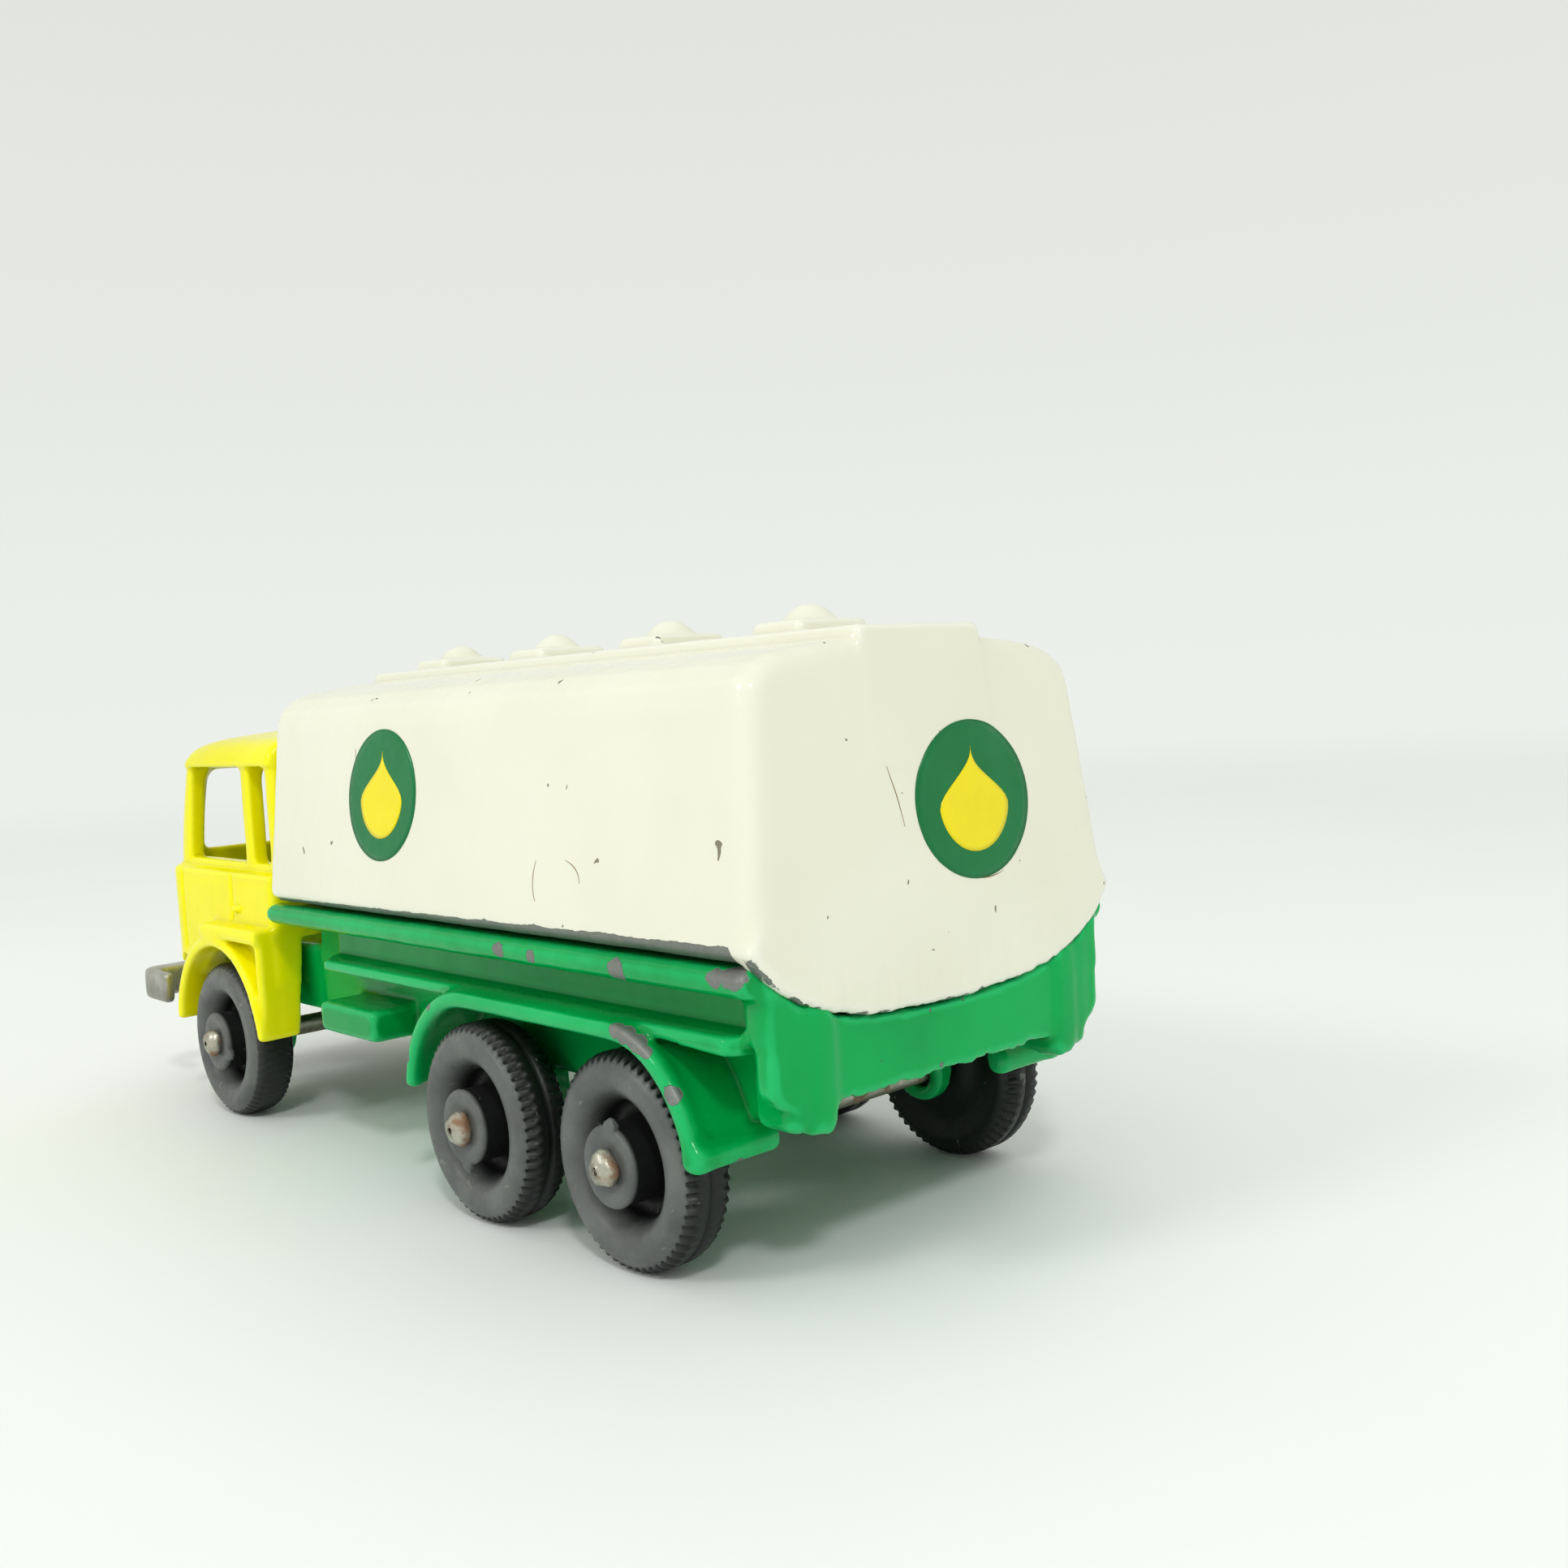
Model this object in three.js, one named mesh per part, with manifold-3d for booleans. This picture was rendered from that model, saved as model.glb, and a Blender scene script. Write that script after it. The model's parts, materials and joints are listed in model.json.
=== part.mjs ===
// A small die-cast toy road tanker, about three inches long.
// It has a tilting yellow cab, a green chassis casting with tandem mudguards,
// a white tank casting and six plastic wheels on three riveted steel axles.
//
// Frame: millimetres, +X to the front of the truck, +Y to its left, +Z up.
// The origin is on the ground, at the centre of the whole outline.

import * as THREE from "three";
import { mergeVertices } from "three/addons/utils/BufferGeometryUtils.js";
import Module from "manifold-3d";

const wasm = await Module();
wasm.setup();

// ---------------------------------------------------------------- driving dimensions

const LENGTH = 75.2; // back of the tank to front of the bumper
const GAP = 0.3; // room left between neighbouring castings

const REAR_OVERHANG = 10.9; // rear axle to the back of the tank
const REAR_AXLE_X = -LENGTH / 2 + REAR_OVERHANG;
const TANDEM_SPACING = 12.4; // rear axle to middle axle
const WHEELBASE = 47.7; // rear axle to front axle
const MIDDLE_AXLE_X = REAR_AXLE_X + TANDEM_SPACING;
const FRONT_AXLE_X = REAR_AXLE_X + WHEELBASE;

const WHEEL_RADIUS = 5.5;
const WHEEL_WIDTH = 3.2; // over both tyres of a twin moulding
const REAR_WHEEL_Y = 13.4; // centre line to the outer face of a tyre
const MIDDLE_WHEEL_Y = 14.1;
const FRONT_WHEEL_Y = 13.3;
const BOSS_RADIUS = 2.1;
const BOSS_STAND = 0.5; // how far the boss stands out of the tyre face
const AXLE_RADIUS = 0.7;
const BORE_RADIUS = AXLE_RADIUS + GAP;

const WALL = 1.2; // wall of every casting
const TANK_LENGTH = 49.6;
const TANK_FRONT_X = -LENGTH / 2 + TANK_LENGTH;
const TANK_RAKE = 0.075; // slope of the back panel
const TANK_SILL_Z = 16.2; // underside of the tank, above the chassis deck
const TANK_HALF_WIDTH = 13.2;
const TANK_TOP_Z = 30.5;
const PANEL_LOWEST_Z = 12.5; // lowest point of the back panel
const STRIP_HALF_WIDTH = 4.4; // raised strip along the top
const STRIP_TOP_Z = 31.1;
const HATCH_COUNT = 4;
const HATCH_PITCH = 11.8;
const HATCH_REAR_X = REAR_AXLE_X - 1.9; // centre of the rearmost hatch
const HATCH_TOP_Z = 31.8;

const DECK_TOP_Z = TANK_SILL_Z - GAP;
const DECK_BOTTOM_Z = 14.6;
const RAIL_HALF_WIDTH = 13.35;
const LEDGE_HALF_WIDTH = 12.8;
const LEDGE_TOP_Z = 12.7;
const LEDGE_BOTTOM_Z = 12.0;
const WEB_HALF_WIDTH = 9.6; // outside of the two side webs
const WEB_BOTTOM_Z = 8.0;
const CHASSIS_REAR_X = -LENGTH / 2 + 0.35;
const DECK_FRONT_X = TANK_FRONT_X - 0.2;
const MUDGUARD_OUTER_Y = 13.5;
const MUDGUARD_WALL = 0.55;
const MUDGUARD_TOP_Z = 12.45;
const MUDGUARD_HEM_Z = 6.45;
const PAD_BOTTOM_Z = 6.9; // flat belly pad under the chassis

const CAB_REAR_X = REAR_AXLE_X + 40.2;
const CAB_FRONT_X = REAR_AXLE_X + 59.9;
const CAB_HALF_WIDTH = 12.15;
const CAB_CORNER_RADIUS = 3;
const GLASS_HALF_WIDTH = 11.6; // half width above the waist
const WAIST_Z = 18.0;
const ROOF_EDGE_Z = 25.2;
const ROOF_TOP_Z = 27.8;
const SCREEN_RAKE = 2.4; // how far the windscreen leans back
const ARCH_RADIUS = 6.75; // inside of a front mudguard
const ARCH_HEM_Z = 6.3;

const HINGE_X = CAB_FRONT_X - 3.2;
const HINGE_Z = 10.0;
const HINGE_PIN_RADIUS = 0.6;
const EYE_RADIUS = 1.6; // round every hinge eye
const NECK_TOP_Z = 12.5; // chassis under the cab
const NECK_FRONT_X = HINGE_X - EYE_RADIUS - 0.6;
const BASE_TOP_Z = 8.0;
const BASE_BOTTOM_Z = 7.0;
const BUMPER_FRONT_X = LENGTH / 2;
const BUMPER_REAR_X = BUMPER_FRONT_X - 2.0;
const BUMPER_HALF_WIDTH = 13.15;
const BUMPER_BOTTOM_Z = 6.6;
const BUMPER_TOP_Z = 9.5;

// ---------------------------------------------------------------- solids

// Turns a closed three.js geometry into a solid that can be joined and cut.
function solid(geometry) {
  const bare = geometry.index ? geometry : geometry.clone();
  bare.deleteAttribute("normal");
  bare.deleteAttribute("uv");
  const merged = mergeVertices(bare, 1e-4);
  return new wasm.Manifold(
    new wasm.Mesh({
      numProp: 3,
      vertProperties: new Float32Array(merged.attributes.position.array),
      triVerts: new Uint32Array(merged.index.array),
    }),
  );
}

function geometryOf(body) {
  const mesh = body.getMesh();
  const geometry = new THREE.BufferGeometry();
  geometry.setAttribute("position", new THREE.BufferAttribute(mesh.vertProperties, 3));
  geometry.setIndex(new THREE.BufferAttribute(mesh.triVerts, 1));
  geometry.computeVertexNormals();
  return geometry;
}

const join = (...bodies) => bodies.reduce((all, body) => all.add(body));
const cut = (body, ...tools) => tools.reduce((left, tool) => left.subtract(tool), body);

function box([x0, x1], [y0, y1], [z0, z1]) {
  const geometry = new THREE.BoxGeometry(x1 - x0, y1 - y0, z1 - z0);
  return solid(geometry.translate((x0 + x1) / 2, (y0 + y1) / 2, (z0 + z1) / 2));
}

function shapeOf(points) {
  return new THREE.Shape(points.map(([a, b]) => new THREE.Vector2(a, b)));
}

// Prism along X of an outline in (y, z).
function alongX(outline, [x0, x1], curveSegments = 8) {
  const shape = outline instanceof THREE.Shape ? outline : shapeOf(outline);
  const geometry = new THREE.ExtrudeGeometry(shape, {
    depth: x1 - x0,
    bevelEnabled: false,
    curveSegments,
  });
  const turn = new THREE.Matrix4().makeBasis(
    new THREE.Vector3(0, 1, 0),
    new THREE.Vector3(0, 0, 1),
    new THREE.Vector3(1, 0, 0),
  );
  return solid(geometry.applyMatrix4(turn).translate(x0, 0, 0));
}

// Prism along Y of an outline in (x, z).
function alongY(outline, [y0, y1], curveSegments = 8) {
  const shape = outline instanceof THREE.Shape ? outline : shapeOf(outline);
  const geometry = new THREE.ExtrudeGeometry(shape, {
    depth: y1 - y0,
    bevelEnabled: false,
    curveSegments,
  });
  return solid(geometry.rotateX(Math.PI / 2).translate(0, y1, 0));
}

// Body of revolution about a line along Y; the profile lists (radius, y).
function aboutY(profile, x, z, segments) {
  const points = profile.map(([radius, y]) => new THREE.Vector2(radius, y));
  return solid(new THREE.LatheGeometry(points, segments).translate(x, 0, z));
}

function rodY(radius, [y0, y1], x, z, segments = 24) {
  return aboutY([[0, y0], [radius, y0], [radius, y1], [0, y1]], x, z, segments);
}

function rodZ(radius, [z0, z1], x, y, segments = 16) {
  const geometry = new THREE.CylinderGeometry(radius, radius, z1 - z0, segments);
  return solid(geometry.rotateX(Math.PI / 2).translate(x, y, (z0 + z1) / 2));
}

// The same solid on the other side of the truck as well.
const bothSides = (left) => join(left, left.mirror([0, 1, 0]));

function materialOf(color, roughness, metalness) {
  return new THREE.MeshStandardMaterial({ color, roughness, metalness });
}

const YELLOW = materialOf(0xe9e21b, 0.35, 0);
const GREEN = materialOf(0x0b9a4f, 0.35, 0);
const IVORY = materialOf(0xece9d6, 0.35, 0);
const BARE_ZINC = materialOf(0x9a9b98, 0.5, 1);
const STEEL = materialOf(0xa8a39a, 0.4, 1);
const BLACK = materialOf(0x2b2c2e, 0.6, 0);

const truck = new THREE.Group();

function addPart(name, body, material) {
  const mesh = new THREE.Mesh(geometryOf(body), material);
  mesh.name = name;
  truck.add(mesh);
}

// ---------------------------------------------------------------- tank casting

// Half outline of the tank above its sill, as (y, z), from the sill to the top.
function tankSide(inset) {
  return [
    [TANK_HALF_WIDTH - 0.5 - inset, TANK_SILL_Z],
    [TANK_HALF_WIDTH - inset, TANK_SILL_Z + 0.5],
    [11.9 - inset, 27.6],
    [11.6 - inset, 28.7],
    [10.7 - inset * 0.8, 29.5 - inset * 0.5],
    [9.6 - inset * 0.5, 29.9 - inset],
    [7.6, TANK_TOP_Z - 0.3 - inset],
    [4.6, TANK_TOP_Z - inset],
  ];
}

function closedOutline(half) {
  const mirrored = half.map(([y, z]) => [-y, z]).reverse();
  return [...half, ...mirrored];
}

// The back panel hangs below the sill in a shallow arc, over the chassis valance.
function backPanelShape(grow) {
  const side = tankSide(0).slice(1).map(([y, z]) => [y + grow, z]);
  const shape = new THREE.Shape();
  const [cornerY, cornerZ] = side[0];
  shape.moveTo(cornerY, cornerZ);
  for (const [y, z] of side.slice(1)) shape.lineTo(y, z);
  for (const [y, z] of [...side].reverse()) shape.lineTo(-y, z);
  const lowest = PANEL_LOWEST_Z - grow;
  const turnY = 11.4 + grow;
  const turnZ = 13.6 - grow;
  shape.bezierCurveTo(-turnY, turnZ, -7.5, lowest, 0, lowest);
  shape.bezierCurveTo(7.5, lowest, turnY, turnZ, cornerY, cornerZ);
  return shape;
}

// Everything behind the raked back of the tank, to be cut away.
function behindTank() {
  const foot = -LENGTH / 2;
  const rakeStart = TANK_SILL_Z;
  const top = 40;
  return alongY(
    [
      [foot - 5, rakeStart],
      [foot, rakeStart],
      [foot + (top - rakeStart) * TANK_RAKE, top],
      [foot - 5, top],
    ],
    [-20, 20],
  );
}

function makeTank() {
  const backX = -LENGTH / 2;
  const outer = alongX(closedOutline(tankSide(0)), [backX, TANK_FRONT_X]);
  const backPanel = alongX(backPanelShape(0), [backX, backX + WALL], 7);
  const strip = box(
    [backX, TANK_FRONT_X],
    [-STRIP_HALF_WIDTH, STRIP_HALF_WIDTH],
    [TANK_TOP_Z - 1, STRIP_TOP_Z],
  );
  const hollow = alongX(
    [
      ...closedOutline(tankSide(WALL)).map(([y, z]) => [y, z === TANK_SILL_Z ? z - 1 : z]),
    ],
    [backX + 2 * WALL, TANK_FRONT_X - WALL],
  );
  let tank = cut(join(outer, strip), hollow);
  tank = join(tank, backPanel);
  for (let i = 0; i < HATCH_COUNT; i += 1) tank = join(tank, hatch(HATCH_REAR_X + i * HATCH_PITCH));
  for (const x of POST_XS) tank = join(tank, tankPost(x));
  return cut(tank, behindTank());
}

// A low four-sided platform with a small dome in its middle.
function hatch(x) {
  const crest = [1.7, 2.3];
  const spread = 1.12; // foot of the platform to its crest
  const platform = new THREE.CylinderGeometry(1, spread, 1, 4, 1).rotateY(Math.PI / 4);
  const height = HATCH_TOP_Z - STRIP_TOP_Z + 0.3;
  platform.scale(crest[0] * Math.SQRT2, height, crest[1] * Math.SQRT2);
  platform.rotateX(Math.PI / 2).translate(x, 0, HATCH_TOP_Z - height / 2);
  const dome = new THREE.SphereGeometry(1.4, 16, 10).scale(1, 1, 0.65);
  dome.translate(x, 0, HATCH_TOP_Z);
  const above = box([x - 3, x + 3], [-3, 3], [STRIP_TOP_Z - 0.3, HATCH_TOP_Z + 2]);
  return join(solid(platform), solid(dome)).intersect(above);
}

// Posts cast in the tank roof go through the deck and are peened over below it.
const POST_XS = [REAR_AXLE_X + 5.8, REAR_AXLE_X + 34.3];
const POST_RADIUS = 1.2;

function tankPost(x) {
  const headTop = DECK_BOTTOM_Z - GAP;
  const post = rodZ(POST_RADIUS, [headTop - 0.2, TANK_TOP_Z - 0.4], x, 0);
  const head = rodZ(POST_RADIUS + 0.8, [headTop - 0.6, headTop], x, 0);
  return join(post, head);
}

// ---------------------------------------------------------------- chassis casting

// Two quarter ellipses with a straight top between them, over both wheels of the tandem.
function mudguardPath(inset) {
  const height = MUDGUARD_TOP_Z - WHEEL_RADIUS - inset;
  const rearReach = 6.35 - inset;
  const frontReach = 6.75 - inset;
  const frontCentreX = REAR_AXLE_X + 13.7;
  const hem = Math.asin((MUDGUARD_HEM_Z - WHEEL_RADIUS) / height);
  const steps = 9;
  const rise = (i) => hem + (i / steps) * (Math.PI / 2 - hem);
  const rear = [];
  const front = [];
  for (let i = 0; i <= steps; i += 1) {
    const z = WHEEL_RADIUS + height * Math.sin(rise(i));
    rear.push([REAR_AXLE_X - rearReach * Math.cos(rise(i)), z]);
    front.unshift([frontCentreX + frontReach * Math.cos(rise(i)), z]);
  }
  return [...rear, ...front];
}

function makeMudguard() {
  const outline = [...mudguardPath(0), ...mudguardPath(MUDGUARD_WALL).reverse()];
  return alongY(outline, [WEB_HALF_WIDTH - 0.2, MUDGUARD_OUTER_Y]);
}

function makeRail() {
  const inner = WEB_HALF_WIDTH - 0.2;
  const outline = [
    [inner, DECK_BOTTOM_Z],
    [RAIL_HALF_WIDTH - 0.4, DECK_BOTTOM_Z],
    [RAIL_HALF_WIDTH, DECK_BOTTOM_Z + 0.45],
    [RAIL_HALF_WIDTH, DECK_TOP_Z - 0.35],
    [RAIL_HALF_WIDTH - 0.4, DECK_TOP_Z],
    [inner, DECK_TOP_Z],
  ];
  return alongX(outline, [CHASSIS_REAR_X + 0.4, DECK_FRONT_X]);
}

// A ring round an axle, hung from the foot of a side web.
function axleLug(x) {
  const reach = [WEB_HALF_WIDTH - WALL, WEB_HALF_WIDTH];
  const ring = rodY(1.75, reach, x, WHEEL_RADIUS, 20);
  const plate = box([x - 1.75, x + 1.75], reach, [WHEEL_RADIUS, WEB_BOTTOM_Z + 1]);
  return cut(join(ring, plate), rodY(BORE_RADIUS, [5, 12], x, WHEEL_RADIUS, 20));
}

function makeSideBox() {
  return box(
    [REAR_AXLE_X + 25.4, REAR_AXLE_X + 32.7],
    [WEB_HALF_WIDTH - 0.2, LEDGE_HALF_WIDTH],
    [WEB_BOTTOM_Z, 9.95],
  );
}

const BASE_POST_XS = [FRONT_AXLE_X - 3.4, NECK_FRONT_X - 1.8];

function makeValance() {
  const half = [
    [12.1, DECK_TOP_Z],
    [12.1, 10.2],
    [11.6, 9.5],
    [10.6, 9.1],
  ];
  const wall = alongX(closedOutline(half), [CHASSIS_REAR_X, CHASSIS_REAR_X + WALL]);
  const panel = box([CHASSIS_REAR_X - 1, CHASSIS_REAR_X + 0.25], [-6.0, 6.0], [9.7, 13.0]);
  return cut(wall, panel);
}

function makeChassisSide() {
  const web = [WEB_HALF_WIDTH - WALL, WEB_HALF_WIDTH];
  return join(
    makeRail(),
    box([CHASSIS_REAR_X, DECK_FRONT_X], web, [WEB_BOTTOM_Z, DECK_TOP_Z]),
    box([CHASSIS_REAR_X, NECK_FRONT_X], web, [WEB_BOTTOM_Z, NECK_TOP_Z]),
    box(
      [CHASSIS_REAR_X, REAR_AXLE_X + 33.2],
      [WEB_HALF_WIDTH - 0.2, 11.0],
      [LEDGE_BOTTOM_Z, DECK_TOP_Z],
    ),
    box(
      [REAR_AXLE_X - 8.4, REAR_AXLE_X + 33.2],
      [WEB_HALF_WIDTH - 0.2, LEDGE_HALF_WIDTH],
      [LEDGE_BOTTOM_Z, LEDGE_TOP_Z],
    ),
    box(
      [CHASSIS_REAR_X, REAR_AXLE_X - 7.9],
      [8.2, 11.0],
      [WEB_BOTTOM_Z + 0.1, DECK_TOP_Z],
    ),
    makeMudguard(),
    makeSideBox(),
    axleLug(REAR_AXLE_X),
    axleLug(MIDDLE_AXLE_X),
    axleLug(FRONT_AXLE_X),
  );
}

function makeChassis() {
  const across = [-WEB_HALF_WIDTH, WEB_HALF_WIDTH];
  const deck = box([CHASSIS_REAR_X, DECK_FRONT_X], across, [DECK_BOTTOM_Z, DECK_TOP_Z]);
  const neck = box([DECK_FRONT_X - WALL, NECK_FRONT_X], across, [NECK_TOP_Z - WALL, NECK_TOP_Z]);
  const step = box([DECK_FRONT_X - WALL, DECK_FRONT_X], across, [NECK_TOP_Z - WALL, DECK_TOP_Z]);
  const bellyEnds = [REAR_AXLE_X + 21.5, REAR_AXLE_X + 32.5];
  const belly = join(
    box(bellyEnds, across, [WEB_BOTTOM_Z, WEB_BOTTOM_Z + WALL]),
    box([bellyEnds[0] + 1, bellyEnds[1] - 1], [-6, 6], [PAD_BOTTOM_Z, WEB_BOTTOM_Z + 0.2]),
  );
  let chassis = join(bothSides(makeChassisSide()), deck, neck, step, makeValance(), belly);
  for (const x of BASE_POST_XS) {
    const post = rodZ(0.9, [BASE_BOTTOM_Z - GAP - 0.3, NECK_TOP_Z - 0.4], x, 0);
    const head = rodZ(1.6, [BASE_BOTTOM_Z - GAP - 0.5, BASE_BOTTOM_Z - GAP], x, 0);
    chassis = join(chassis, post, head);
  }
  for (const x of POST_XS) {
    chassis = cut(chassis, rodZ(POST_RADIUS + GAP, [DECK_BOTTOM_Z - 1, DECK_TOP_Z + 1], x, 0));
  }
  const panelRoom = alongX(
    backPanelShape(GAP),
    [-LENGTH / 2 - 1, -LENGTH / 2 + WALL + GAP],
    7,
  );
  return cut(chassis, panelRoom);
}

// ---------------------------------------------------------------- cab casting

// Side profile of the shell as (x, z), drawn at a distance inside the outer skin.
function cabProfile(inset) {
  const roof = ROOF_TOP_Z - inset;
  const front = CAB_FRONT_X - inset;
  const back = CAB_REAR_X + inset;
  const brow = front - SCREEN_RAKE;
  return [
    [back, 4],
    [front, 4],
    [front, WAIST_Z],
    [brow, ROOF_EDGE_Z],
    [brow - 1.2, ROOF_EDGE_Z + 1.5 - inset / 2],
    [brow - 4.6, roof - 0.15],
    [brow - 9, roof],
    [back + 0.7, roof],
    [back, roof - 0.7],
  ];
}

function cabCore(inset) {
  const profile = cabProfile(inset);
  const lower = CAB_HALF_WIDTH - inset;
  const upper = GLASS_HALF_WIDTH - inset;
  const roof = ROOF_TOP_Z - inset;
  const section = [
    [lower, 4],
    [lower, WAIST_Z - 0.6],
    [upper, WAIST_Z],
    [upper, ROOF_EDGE_Z],
    [upper - 0.7, ROOF_EDGE_Z + 1.3 - inset / 2],
    [upper - 3, roof - 0.1],
  ];
  const across = alongX(closedOutline(section), [CAB_REAR_X - 2, CAB_FRONT_X + 2]);
  return alongY(profile, [-20, 20]).intersect(across);
}

// Front corners of the cab are rounded in plan.
function cabCornerCut() {
  const radius = CAB_CORNER_RADIUS;
  const x = CAB_FRONT_X - radius;
  const y = CAB_HALF_WIDTH - radius;
  const corner = box([x, x + 8], [y, y + 8], [0, 40]);
  return cut(corner, rodZ(radius, [-1, 41], x, y, 24));
}

// The front mudguard: a ring that slopes out from the cab side, and a skirt behind the wheel.
function flare() {
  const foot = CAB_HALF_WIDTH - 2.2;
  const lip = FRONT_WHEEL_Y + 0.3;
  const profile = [
    [ARCH_RADIUS, foot],
    [ARCH_RADIUS + 0.9, foot],
    [ARCH_RADIUS + 0.9, CAB_HALF_WIDTH - WALL],
    [ARCH_RADIUS + 1.7, CAB_HALF_WIDTH - 0.2],
    [ARCH_RADIUS + 0.75, lip],
    [ARCH_RADIUS, lip],
    [ARCH_RADIUS, foot],
  ];
  const ring = aboutY(profile, FRONT_AXLE_X, WHEEL_RADIUS, 40);
  const skirt = box([CAB_REAR_X, FRONT_AXLE_X - 3], [foot, lip - 0.1], [ARCH_HEM_Z, 12.9]);
  const opening = rodY(ARCH_RADIUS, [9, 16], FRONT_AXLE_X, WHEEL_RADIUS, 40);
  const kept = box([CAB_REAR_X, FRONT_AXLE_X + 12], [8, 16], [ARCH_HEM_Z, 20]);
  return join(ring, cut(skirt, opening)).intersect(kept);
}

function sideWindows() {
  const sill = WAIST_Z + 0.3;
  const head = ROOF_EDGE_Z - 0.1;
  const reach = [GLASS_HALF_WIDTH - 2.5, GLASS_HALF_WIDTH + 2];
  const x = (offset) => REAR_AXLE_X + offset;
  const door = alongY(
    [[x(45.8), sill], [x(55.2), sill], [x(53.6), head], [x(45.8), head]],
    reach,
  );
  const quarter = box([x(41.6), x(44.2)], reach, [sill, head]);
  return join(door, quarter);
}

function makeCab() {
  const shell = cut(cabCore(0), cabCore(WALL));
  const hem = box([CAB_REAR_X - 5, CAB_FRONT_X + 5], [-20, 20], [-5, HINGE_Z + 0.1]);
  const wheelRoom = bothSides(rodY(ARCH_RADIUS, [9, 16], FRONT_AXLE_X, WHEEL_RADIUS, 40));
  const panes = bothSides(
    box([CAB_FRONT_X - 5, CAB_FRONT_X + 2], [0.5, 9.3], [WAIST_Z + 0.7, ROOF_EDGE_Z - 0.4]),
  );
  const rearPane = box(
    [CAB_REAR_X - 1, CAB_REAR_X + 2],
    [-8.8, 8.8],
    [WAIST_Z + 1.3, ROOF_EDGE_Z - 0.6],
  );
  const chassisRoom = alongX(
    [[-10.9, 4], [10.9, 4], [10.1, 13.1], [-10.1, 13.1]],
    [CAB_REAR_X - 1, CAB_REAR_X + 2],
  );
  const corners = bothSides(cabCornerCut());
  let cab = cut(shell, hem, wheelRoom, corners, panes, rearPane, bothSides(sideWindows()));
  cab = join(cab, bothSides(flare()), cabCornerPosts(), bothSides(hingeLug()));
  return cut(cab, chassisRoom);
}

// The rounded corners keep their wall thickness.
function cabCornerPosts() {
  const radius = CAB_CORNER_RADIUS;
  const x = CAB_FRONT_X - radius;
  const y = CAB_HALF_WIDTH - radius;
  const quarter = box([x, x + 4], [y, y + 4], [HINGE_Z + 0.1, ROOF_EDGE_Z + 0.5]);
  const ring = cut(
    rodZ(radius, [HINGE_Z + 0.1, ROOF_EDGE_Z + 0.5], x, y, 24),
    rodZ(radius - WALL, [0, 40], x, y, 16),
  );
  return bothSides(ring.intersect(quarter)).intersect(cabCore(0));
}

// The cab turns on the pin by two lugs inside its front.
function hingeLug() {
  const reach = [8.8, 10.2];
  const eye = rodY(EYE_RADIUS, reach, HINGE_X, HINGE_Z, 20);
  const arm = box([HINGE_X - EYE_RADIUS, CAB_FRONT_X - WALL / 2], reach, [HINGE_Z + 0.4, HINGE_Z + 3.4]);
  return cut(join(eye, arm), rodY(HINGE_PIN_RADIUS + GAP, [5, 12], HINGE_X, HINGE_Z, 20));
}

// ---------------------------------------------------------------- bare front base with bumper

function makeFrontBase() {
  const height = [BASE_BOTTOM_Z, BASE_TOP_Z];
  const earY = [7.0, 8.4];
  const plateFront = HINGE_X + EYE_RADIUS;
  const tongue = box([FRONT_AXLE_X - 5.4, plateFront], [-4.2, 4.2], height);
  const plate = box([HINGE_X - 6.0, plateFront], [-8.4, 8.4], height);
  const link = box(
    [plateFront - 1, BUMPER_REAR_X + 0.5],
    [-8.4, 8.4],
    [BASE_BOTTOM_Z - 0.8, BASE_BOTTOM_Z + 0.1],
  );
  const ear = cut(
    join(
      rodY(EYE_RADIUS, earY, HINGE_X, HINGE_Z, 20),
      box([HINGE_X - EYE_RADIUS, HINGE_X + 1.1], earY, [BASE_BOTTOM_Z, HINGE_Z]),
    ),
    rodY(HINGE_PIN_RADIUS + GAP, [5, 12], HINGE_X, HINGE_Z, 20),
  );
  let base = join(tongue, plate, link, bumperBar(), bothSides(ear));
  for (const x of BASE_POST_XS) base = cut(base, rodZ(0.9 + GAP, [4, 9], x, 0));
  return base;
}

// The bumper bar is bowed a little and wraps back round the corners of the cab.
function bumperBar() {
  const tip = BUMPER_REAR_X - 3.7;
  const curl = 1.1; // radius of its ends, about
  const shape = new THREE.Shape();
  shape.moveTo(tip, BUMPER_HALF_WIDTH);
  shape.lineTo(BUMPER_REAR_X, BUMPER_HALF_WIDTH);
  shape.quadraticCurveTo(
    BUMPER_FRONT_X - 0.6,
    BUMPER_HALF_WIDTH,
    BUMPER_FRONT_X - 0.5,
    BUMPER_HALF_WIDTH - curl,
  );
  shape.quadraticCurveTo(BUMPER_FRONT_X, 6, BUMPER_FRONT_X, 0);
  shape.quadraticCurveTo(BUMPER_FRONT_X, -6, BUMPER_FRONT_X - 0.5, curl - BUMPER_HALF_WIDTH);
  shape.quadraticCurveTo(
    BUMPER_FRONT_X - 0.6,
    -BUMPER_HALF_WIDTH,
    BUMPER_REAR_X,
    -BUMPER_HALF_WIDTH,
  );
  const inside = BUMPER_HALF_WIDTH - 0.7;
  shape.lineTo(tip, -BUMPER_HALF_WIDTH);
  shape.lineTo(tip, -inside);
  shape.lineTo(BUMPER_REAR_X - 0.5, -inside);
  shape.lineTo(BUMPER_REAR_X, -inside + 0.5);
  shape.lineTo(BUMPER_REAR_X, inside - 0.5);
  shape.lineTo(BUMPER_REAR_X - 0.5, inside);
  shape.lineTo(tip, inside);
  const geometry = new THREE.ExtrudeGeometry(shape, {
    depth: BUMPER_TOP_Z - BUMPER_BOTTOM_Z,
    bevelEnabled: false,
    curveSegments: 5,
  });
  return solid(geometry.translate(0, 0, BUMPER_BOTTOM_Z));
}

// ---------------------------------------------------------------- wheels and axles

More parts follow.
